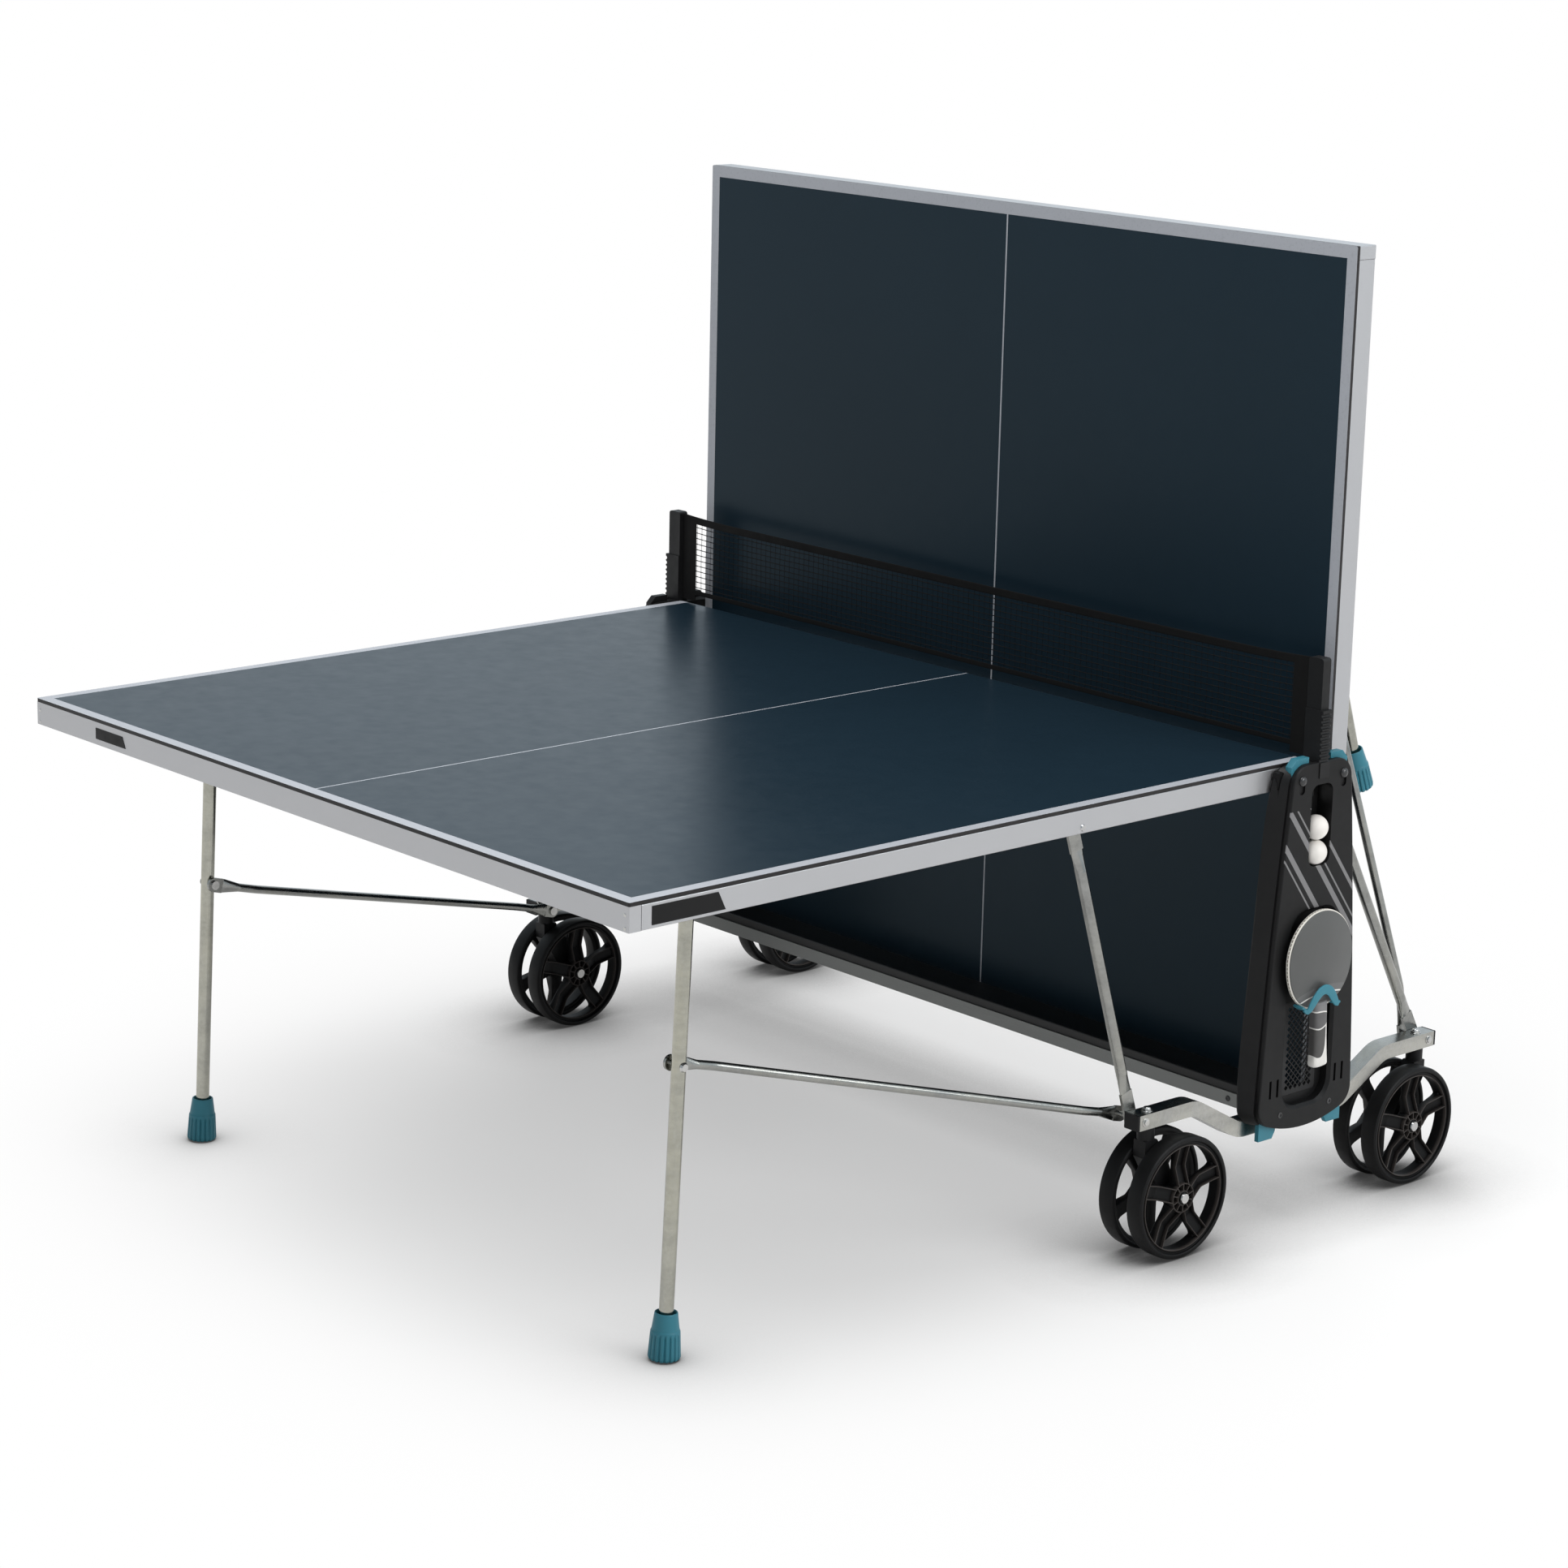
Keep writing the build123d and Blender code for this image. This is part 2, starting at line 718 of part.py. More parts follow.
seat_half = post_foot_half + clear
seat_depth = panel_rise + post_foot_sink
dome_screw_out = panel_top_half - dome_screw_inset
dome_screw_height = panel_top - dome_screw_drop
dome_pocket_height = dome_screw_height - dome_pocket_length / 2
low_screw_height = panel_lowest + cover_screw_rise


def arm_bar(width, height):
    with BuildPart() as bar:
        with BuildLine() as route:
            Polyline(
                (arm_side, -arm_end, anchor_height),
                (arm_side, -arm_knee_out, anchor_height),
                (arm_side, -arm_knee_in, arm_low),
                (arm_side, arm_knee_in, arm_low),
                (arm_side, arm_knee_out, anchor_height),
                (arm_side, arm_end, anchor_height),
            )
            fillet(route.vertices().sort_by(Axis.Y)[1:5], arm_bend_radius)
        with BuildSketch(Plane.XZ.offset(arm_end)):
            with Locations((arm_side, anchor_height)):
                Rectangle(width, height)
        sweep()
    return bar.part


with BuildPart() as panel_body:
    with BuildSketch(Plane.YZ.offset(panel_inner)):
        add(panel_outline(panel_flare, body_top))
    with BuildSketch(Plane.YZ.offset(panel_split)):
        add(panel_outline(panel_step, body_top))
    loft()
    chamfer(panel_body.edges().group_by(Axis.X)[0], panel_flank_edge)
    # tracks for the guide runners of both halves
    with BuildSketch(Plane.YZ.offset(panel_inner)):
        with Locations((guide_out, track_middle), (-guide_out, track_middle)):
            SlotOverall(track_top - track_bottom, track_width, rotation=90)
    extrude(amount=track_depth, mode=Mode.SUBTRACT)
    # ball slot, with a window through its back near the top
    with BuildSketch(Plane.YZ.offset(ball_floor)):
        with Locations((0, slot_middle)):
            RectangleRounded(2 * ball_slot_half, ball_slot_length, ball_slot_corner)
    extrude(amount=panel_split - ball_floor, mode=Mode.SUBTRACT)
    with BuildSketch(Plane.YZ.offset(panel_inner)):
        with Locations((0, ball_slot_top - ball_window_drop)):
            Circle(ball_window_radius)
        with Locations((0, grille_middle)):
            RectangleRounded(2 * (grille_half - grille_rim), grille_length - 2 * grille_rim, grille_rim)
    extrude(amount=panel_split - panel_inner, mode=Mode.SUBTRACT)
    # bat recess, and the seat of its grille
    with BuildSketch(Plane.YZ.offset(recess_floor)):
        with Locations((0, recess_middle)):
            RectangleRounded(2 * recess_half, recess_length, recess_corner)
    extrude(amount=panel_split - recess_floor, mode=Mode.SUBTRACT)
    with BuildSketch(Plane.YZ.offset(recess_floor - grille_thickness)):
        with Locations((0, grille_middle)):
            RectangleRounded(2 * grille_half, grille_length, grille_rim)
    extrude(amount=grille_thickness, mode=Mode.SUBTRACT)
    # seat of the net post
    with BuildSketch(Plane.YZ.offset(panel_inner)):
        with Locations((0, panel_top)):
            Rectangle(2 * seat_half, 2 * seat_depth)
    extrude(amount=panel_split - panel_inner, mode=Mode.SUBTRACT)
    # lock rods, tabs and hooks
    with BuildSketch(Plane.YZ.offset(panel_split)):
        with Locations((rod_middle, rod_height), (-rod_middle, rod_height)):
            Rectangle(lock_rod_width + 2 * clear, rod_length + 2 * clear)
        with Locations((hook_middle, lock_hook_top), (-hook_middle, lock_hook_top)):
            Rectangle(lock_hook_width + 2 * clear, 2 * lock_hook_length)
    extrude(amount=-(lock_thickness + 2 * clear), mode=Mode.SUBTRACT)
    with BuildSketch(Plane.YZ.offset(panel_split)):
        with Locations((tab_middle, lock_tab_top), (-tab_middle, lock_tab_top)):
            Rectangle(lock_tab_width + 2 * clear, 2 * (lock_tab_rise + lock_tab_sink + clear))
    extrude(amount=-(lock_tab_thickness + 2 * clear), mode=Mode.SUBTRACT)
    # wheel arm channel
    add(arm_bar(arm_width, arm_height + 2 * clear), mode=Mode.SUBTRACT)

with BuildPart() as panel_cover:
    with BuildSketch(Plane.YZ.offset(panel_split)):
        add(panel_outline(0, panel_top))
    extrude(amount=panel_outer - panel_split)
    fillet(panel_cover.edges().group_by(Axis.X)[-1], cover_edge)
    with BuildSketch(Plane.YZ.offset(panel_split)):
        with Locations((0, slot_middle)):
            RectangleRounded(2 * ball_slot_half, ball_slot_length, ball_slot_corner)
        with Locations((0, recess_middle)):
            RectangleRounded(2 * recess_half, recess_length, recess_corner)
        with Locations((0, panel_top)):
            Rectangle(2 * seat_half, 2 * seat_depth)
    extrude(amount=cover_thickness, mode=Mode.SUBTRACT)
    outer_edges = panel_cover.edges().group_by(Axis.X)[-1]
    recess_edges = outer_edges.filter_by_position(Axis.Z, recess_bottom, recess_top)
    chamfer(recess_edges.filter_by_position(Axis.Y, -recess_half, recess_half), recess_bevel)
    with BuildSketch(Plane.YZ.offset(panel_outer - screw_depth)):
        with Locations((dome_screw_out, dome_screw_height), (-dome_screw_out, dome_screw_height)):
            Circle(screw_radius + running_fit)
        with Locations((cover_screw_out, low_screw_height), (-cover_screw_out, low_screw_height)):
            Circle(cover_screw_radius + running_fit)
    extrude(amount=screw_depth, mode=Mode.SUBTRACT)
    with BuildSketch(Plane.YZ.offset(panel_outer)):
        with Locations((dome_screw_out, dome_pocket_height), (-dome_screw_out, dome_pocket_height)):
            SlotOverall(dome_pocket_length, dome_pocket_width, rotation=90)
    extrude(amount=-dome_pocket_depth, mode=Mode.SUBTRACT)
    with BuildSketch(Plane.YZ.offset(panel_outer)):
        for side in (-1, 1):
            for slot_number in range(2):
                slot_out = recess_half + cover_slot_gap + slot_number * cover_slot_spacing
                with Locations((side * slot_out, recess_bottom + cover_slot_rise)):
                    Rectangle(cover_slot_width, cover_slot_length)
    extrude(amount=-cover_slot_depth, mode=Mode.SUBTRACT)

# diamonds in two interleaved grids, as many as fit inside the grille's rim
grille_columns = int(2 * (grille_half - grille_rim) / grille_spacing)
grille_rows = int((grille_length - 2 * grille_rim) / grille_spacing)

with BuildPart() as grille:
    with BuildSketch(Plane.YZ.offset(recess_floor - grille_thickness)):
        with Locations((0, grille_middle)):
            RectangleRounded(2 * (grille_half - clear), grille_length - 2 * clear, grille_rim)
            for columns, rows in ((grille_columns, grille_rows), (grille_columns - 1, grille_rows - 1)):
                with GridLocations(grille_spacing, grille_spacing, columns, rows):
                    Rectangle(grille_diamond, grille_diamond, rotation=45, mode=Mode.SUBTRACT)
    extrude(amount=grille_thickness)

# ---- Locks of the right panel, on its +Y side

with BuildPart() as lock:
    with BuildSketch(Plane.YZ.offset(lock_outer)):
        with Locations((rod_middle, rod_height)):
            Rectangle(lock_rod_width, rod_length)
        with BuildLine():
            Polyline(
                (lock_rod_inner, lock_hook_top),
                (lock_hook_outer, lock_hook_top),
                (lock_hook_outer, lock_hook_bottom),
                (lock_rod_outer, lock_hook_bottom),
                (lock_rod_inner, lock_hook_bottom + lock_hook_toe),
                close=True,
            )
        make_face()
    extrude(amount=-lock_thickness)
    with BuildSketch(Plane.YZ.offset(lock_outer)):
        with BuildLine():
            Polyline(
                (lock_tab_inner, lock_tab_bottom),
                (lock_tab_outer, lock_tab_bottom),
                (lock_tab_outer, lock_tab_top - lock_tab_slope),
                (lock_tab_outer - lock_tab_slope, lock_tab_top),
                (lock_tab_inner, lock_tab_top),
                close=True,
            )
        make_face()
    extrude(amount=-lock_tab_thickness)

# ---- Bat: a wooden blade with a tang, a rubber on each face, and two handle scales

with BuildPart() as bat_blade:
    with BuildSketch(Plane.YZ.offset(bat_side - bat_wood / 2)):
        with Locations((0, bat_height)):
            Ellipse(bat_half_width, bat_half_length)
        with Locations((0, (handle_bottom + bat_height) / 2)):
            Rectangle(2 * handle_half_width, bat_height - handle_bottom)
    extrude(amount=bat_wood)

with BuildPart() as bat_rubber_front:
    with BuildSketch(Plane.YZ.offset(bat_side + bat_wood / 2)):
        with Locations((0, bat_height)):
            Ellipse(bat_half_width - bat_edge, bat_half_length - bat_edge)
        with Locations((0, handle_top + rubber_gap - bat_half_length)):
            Rectangle(4 * handle_half_width, 2 * bat_half_length, mode=Mode.SUBTRACT)
    extrude(amount=bat_rubber)

with BuildPart() as handle_scale:
    with BuildSketch(Plane.YZ.offset(bat_side + bat_wood / 2)):
        with BuildLine():
            Polyline(
                (-handle_half_width, handle_top),
                (handle_half_width, handle_top),
                (handle_half_width, (handle_top + handle_bottom) / 2),
                (handle_half_width + handle_flare, handle_bottom),
                (-handle_half_width - handle_flare, handle_bottom),
                (-handle_half_width, (handle_top + handle_bottom) / 2),
                close=True,
            )
        make_face()
    extrude(amount=handle_thickness)
    fillet(handle_scale.edges().group_by(Axis.X)[-1], handle_edge)

bat_plane = Plane.YZ.offset(bat_side)
bat_rubbers = [bat_rubber_front.part, mirror(bat_rubber_front.part, about=bat_plane, mode=Mode.PRIVATE)]
bat_handle = [handle_scale.part, mirror(handle_scale.part, about=bat_plane, mode=Mode.PRIVATE)]

# The clip stands on the side walls of the recess, cradles the blade's rim and arches over the handle.
cradle_half = bat_half_width + clip_gap
cradle_length = bat_half_length + clip_gap
clip_front = bat_side + bat_wood / 2 + handle_thickness + clip_gap
clip_top = bat_height - clip_drop
clip_toe = (clip_toe_out, clip_top - clip_toe_fall)
clip_heel = (clip_throat, clip_top - clip_heel_fall)
clip_sole = ((clip_toe_out + clip_throat) / 2, clip_top - clip_sole_fall)
clip_left_toe = (-clip_toe[0], clip_toe[1])
clip_left_heel = (-clip_heel[0], clip_heel[1])

with BuildPart() as clip:
    with BuildSketch(Plane.YZ.offset(panel_outer - clip_seat)):
        with Locations((0, bat_height)):
            Ellipse(cradle_half + clip_rim, cradle_length + clip_rim)
            Ellipse(cradle_half, cradle_length, mode=Mode.SUBTRACT)
            Rectangle(2 * recess_half, 4 * cradle_length, mode=Mode.INTERSECT)
            Rectangle(2 * clip_throat, 4 * cradle_length, mode=Mode.SUBTRACT)
        with Locations((0, bat_height + cradle_length / 2)):
            Rectangle(4 * recess_half, 2 * cradle_length, mode=Mode.SUBTRACT)
    extrude(amount=clip_front - panel_outer + clip_seat)
    with BuildSketch(Plane.YZ.offset(clip_front)):
        with BuildLine():
            Spline(
                clip_left_toe,
                (-clip_shoulder_out, clip_top - clip_shoulder_fall),
                (0, clip_top),
                (clip_shoulder_out, clip_top - clip_shoulder_fall),
                clip_toe,
            )
            ThreePointArc(clip_toe, clip_sole, clip_heel)
            Spline(clip_heel, (0, clip_top - clip_band), clip_left_heel)
            ThreePointArc(clip_left_heel, (-clip_sole[0], clip_sole[1]), clip_left_toe)
        make_face()
    extrude(amount=clip_thickness)

# ---- Wheel arms: one bent tube under each panel

with BuildPart() as arm:
    add(arm_bar(arm_width, arm_height))
    add(arm_bar(arm_width - 2 * arm_wall, arm_height - 2 * arm_wall), mode=Mode.SUBTRACT)
    with BuildSketch(Plane.XY.offset(anchor_height - arm_height)):
        with Locations((arm_side, swivel_out), (arm_side, -swivel_out)):
            Circle(stem_radius + running_fit)
    extrude(amount=2 * arm_height, mode=Mode.SUBTRACT)
    with BuildSketch(Plane.YZ.offset(arm_inner - past)):
        with Locations((anchor_out, anchor_height), (-anchor_out, anchor_height)):
            Circle(pivot_radius + running_fit)
    extrude(amount=arm_width + 2 * past, mode=Mode.SUBTRACT)

with BuildPart() as plug:
    with BuildSketch(Plane.XZ.offset(-arm_end)):
        with Locations((arm_side, anchor_height)):
            RectangleRounded(arm_width, arm_height, tube_corner)
    extrude(amount=-plug_flange)
    with BuildSketch(Plane.XZ.offset(-arm_end)):
        with Locations((arm_side, anchor_height)):
            Rectangle(arm_width - 2 * arm_wall - 2 * clear, arm_height - 2 * arm_wall - 2 * clear)
    extrude(amount=plug_depth)

plug_pair = both_sides(plug.part)
arm_end_plugs = plug_pair + [piece.moved(front_turn) for piece in plug_pair]

# ---- Beam: a black box section with a grey trough hugging its lower half

trim_half = beam_half + trim_fit + trim_wall
trim_bottom = arm_low - trim_fit - trim_wall
trim_middle = trim_bottom + trim_height / 2
beam_screw_side = arm_inner - beam_screw_inset

with BuildPart() as beam:
    with BuildSketch(Plane.YZ.offset(-arm_inner)):
        with Locations((0, arm_low + beam_height / 2)):
            RectangleRounded(2 * beam_half, beam_height, beam_corner)
            Rectangle(2 * (beam_half - beam_wall), beam_height - 2 * beam_wall, mode=Mode.SUBTRACT)
    extrude(amount=2 * arm_inner)

with BuildPart() as beam_trim:
    with BuildSketch(Plane.YZ.offset(-arm_inner)):
        with Locations((0, trim_middle)):
            Rectangle(2 * trim_half, trim_height)
        with Locations((0, trim_bottom + trim_wall + beam_half)):
            Rectangle(2 * (trim_half - trim_wall), 2 * beam_half, mode=Mode.SUBTRACT)
    extrude(amount=2 * arm_inner)
    with BuildSketch(Plane.XZ.offset(-trim_half)):
        with Locations((beam_screw_side, trim_middle), (-beam_screw_side, trim_middle)):
            Circle(beam_screw_radius + running_fit)
    extrude(amount=2 * trim_half, mode=Mode.SUBTRACT)

# ---- Casters, drawn with the swivel axis over the origin and the wheels trailing toward -Y

arm_bottom = anchor_height - arm_height / 2
arm_top = anchor_height + arm_height / 2
axle_half = wheel_gap / 2 + wheel_width
collar_bottom = arm_bottom - collar_length
fork_neck_height = wheel_radius + fork_neck_rise

with BuildPart() as fork:
    with BuildSketch(Plane.YZ.offset(-fork_half)):
        with BuildLine():
            Polyline(
                (-fork_neck_radius, collar_bottom),
                (fork_neck_radius, collar_bottom),
                (fork_neck_radius, fork_neck_height),
                (-wheel_trail + fork_boss_radius, wheel_radius),
                (-wheel_trail - fork_boss_radius, wheel_radius),
                (-fork_neck_radius - fork_shoulder, fork_neck_height),
                close=True,
            )
        make_face()
        with Locations((-wheel_trail, wheel_radius)):
            Circle(fork_boss_radius)
    extrude(amount=2 * fork_half)
    with BuildSketch(Plane.XY.offset(collar_bottom)):
        Circle(collar_radius)
    extrude(amount=arm_bottom - clear - collar_bottom)
    with BuildSketch(Plane.XY.offset(collar_bottom)):
        Circle(stem_radius)
    extrude(amount=arm_top - clear - collar_bottom)
    with BuildSketch(Plane.YZ.offset(-fork_half)):
        with Locations((-wheel_trail, wheel_radius)):
            Circle(axle_radius + running_fit)
    extrude(amount=2 * fork_half, mode=Mode.SUBTRACT)

with BuildPart() as axle:
    with BuildSketch(Plane.YZ.offset(-axle_half)):
        with Locations((-wheel_trail, wheel_radius)):
            Circle(axle_radius)
    extrude(amount=2 * axle_half)
    with BuildSketch(Plane.YZ.offset(axle_half)):
        with Locations((-wheel_trail, wheel_radius)):
            Circle(axle_cap_radius)
    extrude(amount=axle_cap_height, taper=axle_taper)
    with BuildSketch(Plane.YZ.offset(-axle_half)):
        with Locations((-wheel_trail, wheel_radius)):
            Circle(axle_cap_radius)
    extrude(amount=-axle_cap_height, taper=axle_taper)

# A wheel around the X axis, its outer face toward +X: a rim, five dished spokes and a pocketed hub.
rim_inner = wheel_radius - tread_depth - rim_thickness
spoke_start = hub_radius - spoke_root
spoke_end = rim_inner + spoke_root

with BuildPart() as spoke:
    with BuildSketch(Plane.XZ.offset(-spoke_width / 2)):
        with BuildLine():
            Polyline(
                (spoke_back, spoke_start),
                (spoke_front, spoke_start),
                (spoke_front - spoke_dip, spoke_dip_radius),
                (spoke_front, spoke_end),
                (spoke_back, spoke_end),
                close=True,
            )
        make_face()
    extrude(amount=spoke_width)

with BuildPart() as wheel:
    with BuildSketch(Plane.YZ):
        Circle(wheel_radius - tread_depth / 2)
        Circle(rim_inner, mode=Mode.SUBTRACT)
    extrude(amount=wheel_width)
    with BuildSketch(Plane.YZ.offset(tread_depth / 2)):
        Circle(wheel_radius)
        Circle(wheel_radius - tread_depth, mode=Mode.SUBTRACT)
    extrude(amount=wheel_width - tread_depth)
    for number in range(spokes):
        add(Rotation(360 * number / spokes, 0, 0) * spoke.part)
    with BuildSketch(Plane.YZ):
        Circle(hub_radius)
    extrude(amount=wheel_width - axle_cap_height)
    with BuildSketch(Plane.YZ.offset(wheel_width - axle_cap_height - hub_pocket_depth)):
        with PolarLocations(hub_radius - hub_pocket_rim, hub_pockets):
            Circle(hub_pocket_radius)
    extrude(amount=hub_pocket_depth, mode=Mode.SUBTRACT)
    with BuildSketch(Plane.YZ):
        Circle(axle_radius + running_fit)
    extrude(amount=wheel_width, mode=Mode.SUBTRACT)

# ---- Net posts and net

net_top = play_height + net_height
net_end_top = net_top + net_end_rise
net_bottom = play_height + net_lift
post_inner = panel_inner - post_overhang
post_outer = post_inner + post_width
post_top = net_end_top + post_rise
post_foot_outer = panel_outer + post_foot_step
post_foot_top = play_height + post_foot_rise
post_foot_bottom = play_height - post_foot_sink
rack_middle = post_foot_top - rack_drop - rack_spacing * (rack_teeth - 1) / 2
with BuildPart() as post:
    with BuildSketch(Plane.XZ.offset(-post_half)):
        with Locations(((post_inner + post_outer) / 2, (post_top + post_foot_bottom) / 2)):
            RectangleRounded(post_outer - post_inner, post_top - post_foot_bottom, post_corner)
    extrude(amount=2 * post_half)
    with BuildSketch(Plane.XZ.offset(-post_foot_half)):
        with Locations(((post_inner + post_foot_outer) / 2, (post_foot_top + post_foot_bottom) / 2)):
            Rectangle(post_foot_outer - post_inner, post_foot_top - post_foot_bottom)
        with Locations((post_foot_outer, rack_middle)):
            with GridLocations(rack_spacing, rack_spacing, 1, rack_teeth):
                Circle(rack_radius, mode=Mode.SUBTRACT)
    extrude(amount=2 * post_foot_half)

net_end = post_inner - clear
net_rise_side = net_end - net_rise_length

with BuildPart() as net:
    with BuildSketch(Plane.XZ.offset(-net_thickness / 2)):
        with BuildLine():
            Spline(
                (-net_end, net_end_top),
                (-net_rise_side, net_top + net_rise_start),
                (0, net_top),
                (net_rise_side, net_top + net_rise_start),
                (net_end, net_end_top),
            )
            Polyline(
                (net_end, net_end_top), (net_end, net_bottom), (-net_end, net_bottom), (-net_end, net_end_top)
            )
        make_face()
    extrude(amount=net_thickness)

# ---- Fixed screws of the chassis


def dome_screw(plane, radius, height, shank_radius, depth):
    with BuildPart() as screw:
        with BuildSketch(plane):
            Circle(radius)
        extrude(amount=height, taper=head_taper)
        with BuildSketch(plane):
            Circle(shank_radius)
        extrude(amount=-depth)
    return screw.part


def facing_x(side, out, height):
    return Plane((side, out, height), (0, 1, 0), (1, 0, 0))


chassis_screws = []
for way in (-1, 1):
    top_place = facing_x(panel_outer, way * dome_screw_out, dome_screw_height)
    top_screw = dome_screw(top_place, dome_radius, dome_height, screw_radius, screw_depth)
    low_place = facing_x(panel_outer, way * cover_screw_out, low_screw_height)
    low_screw = dome_screw(low_place, cover_screw_radius, cover_screw_height, cover_screw_radius, screw_depth)
    arm_place = facing_x(arm_side + arm_width / 2, way * anchor_out, anchor_height)
    arm_bolt = dome_screw(arm_place, pivot_head_radius, pivot_head_height, pivot_radius, arm_width)
    nut_place = Plane((arm_side, way * swivel_out, arm_top))
    swivel_nut = dome_screw(nut_place, nut_radius, nut_height, stem_radius, nut_seat)
    beam_place = Plane((beam_screw_side, way * trim_half, trim_middle), (1, 0, 0), (0, way, 0))
    beam_screw = dome_screw(beam_place, cover_screw_radius, beam_screw_head, beam_screw_radius, trim_wall)
    for screw in (top_screw, low_screw, arm_bolt, swivel_nut, beam_screw):
        chassis_screws += both_sides(screw)

# ---- Balls

with BuildPart() as ball:
    Sphere(ball_radius)

lower_ball_height = ball_slot_bottom + ball_radius + clear
upper_ball_height = lower_ball_height + 2 * ball_radius + clear

# ---- Write every piece where it stands

for side, body, cover, wheel_arm in zip(
    ("right", "left"), both_sides(panel_body.part), both_sides(panel_cover.part), both_sides(arm.part)
):
    save(f"{side}_panel_body", [body])
    save(f"{side}_panel_cover", [cover])
    save(f"{side}_wheel_arm", [wheel_arm])

save("bat_recess_grilles", both_sides(grille.part))
save("bat_clips", both_sides(clip.part))
save("cross_beam", [beam.part])
save("cross_beam_trim", [beam_trim.part])
save("arm_end_plugs", arm_end_plugs)
save("chassis_screws", chassis_screws)
save("net_posts", both_sides(post.part))
save("net", [net.part])
save("upper_ball", [ball.part], Location((ball_centre_side, 0, upper_ball_height)))
save("lower_ball", [ball.part], Location((ball_centre_side, 0, lower_ball_height)))
save("bat_blade", [bat_blade.part])
save("bat_rubbers", bat_rubbers)
save("bat_handle", bat_handle)
save("front_badge_plates", [side_plate.part, end_plate.part], front_turn * leaf_flat)

for half, way, turn, leaf_place, guide_height, strut_pivot, leg_pivot, leg_angle, stay_pivot in (
    ("front", -1, front_turn, leaf_flat, guide_flat, strut_flat, leg_flat, leg_lean, stay_flat),
    ("back", 1, back_turn, leaf_stood, guide_upright, strut_upright, leg_upright, leg_folded_lean, stay_upright),
):
    strut_place = turn * hung(strut_pivot, lean_to(strut_pivot, anchor))
    strut_bolts = both_sides(strut_upper_bolt.part) + both_sides(strut_lower_bolt.part)
    stay_bolts = both_sides(stay_upper_bolt.part) + both_sides(stay_lower_bolt.part)
    leg_place = turn * hung(leg_pivot, leg_angle)
    stay_place = turn * hung(stay_pivot, lean_to(stay_pivot, anchor))
    save(f"{half}_board", [board.part], turn * leaf_place)
    save(f"{half}_frame", frame_pieces, turn * leaf_place)
    save(f"{half}_guide_runners", both_sides(runner.part), turn * Location((0, 0, guide_height)))
    save(f"{half}_struts", both_sides(strut.part), strut_place)
    save(f"{half}_strut_bolts", strut_bolts, strut_place)
    save(f"{half}_legs", [legs.part], leg_place)
    save(f"{half}_stays", both_sides(stay.part), stay_place)
    save(f"{half}_stay_bolts", stay_bolts, stay_place)
    for side, out in (("left", -1), ("right", 1)):
        # the front half is turned round, so the leg on its own left is on the table's right
        foot_place = Location((out * way * leg_side, 0, -sole_reach))
        save(f"{half}_{side}_foot", [foot.part], leg_place * foot_place)
        lock_piece = lock.part if out > 0 else mirror(lock.part, about=Plane.YZ)
        if way < 0:
            lock_piece = mirror(lock_piece, about=Plane.XZ)
        save(f"{half}_{side}_lock", [lock_piece])
        caster_place = Location((out * arm_side, way * swivel_out, 0)) * turn
        save(f"{half}_{side}_caster_fork", [fork.part], caster_place)
        save(f"{half}_{side}_caster_axle", [axle.part], caster_place)
        for face, facing in (("outer", out), ("inner", -out)):
            spin = Location((0, 0, 0), (0, 0, 90 - 90 * facing))
            hub = (out * arm_side + facing * wheel_gap / 2, way * (swivel_out - wheel_trail), wheel_radius)
            save(f"{half}_{side}_{face}_wheel", [wheel.part], Location(hub) * spin)
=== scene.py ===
import json
from math import cos, pi, radians, sin

import bmesh
import bpy
import numpy as np
from mathutils import Euler, Matrix, Vector


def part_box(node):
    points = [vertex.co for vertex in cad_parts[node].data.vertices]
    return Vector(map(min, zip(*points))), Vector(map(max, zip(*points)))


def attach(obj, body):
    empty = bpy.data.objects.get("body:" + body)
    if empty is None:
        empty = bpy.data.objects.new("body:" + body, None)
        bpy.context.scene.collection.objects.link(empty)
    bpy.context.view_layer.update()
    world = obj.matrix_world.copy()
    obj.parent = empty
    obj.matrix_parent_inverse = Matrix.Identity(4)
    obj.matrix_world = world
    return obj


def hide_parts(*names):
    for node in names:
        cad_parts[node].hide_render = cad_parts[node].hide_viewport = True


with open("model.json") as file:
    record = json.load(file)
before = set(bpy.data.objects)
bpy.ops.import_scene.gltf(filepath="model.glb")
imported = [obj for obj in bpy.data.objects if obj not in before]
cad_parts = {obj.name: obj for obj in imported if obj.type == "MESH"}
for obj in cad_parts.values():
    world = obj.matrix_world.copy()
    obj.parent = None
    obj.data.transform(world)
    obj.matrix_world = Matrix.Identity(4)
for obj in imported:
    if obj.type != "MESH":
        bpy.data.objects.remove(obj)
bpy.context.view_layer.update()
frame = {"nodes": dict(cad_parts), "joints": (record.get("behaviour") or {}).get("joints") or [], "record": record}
nodes = frame["nodes"]
joints = {joint["name"]: joint for joint in frame["joints"]}
netLine = sum(joints[end + "_right_caster_swivel"]["pos_m"][1] / 2 for end in ("front", "back"))
print("frame loaded:", len(nodes), "nodes")


# mesh helpers: a grid is a pair of points and blocks of faces

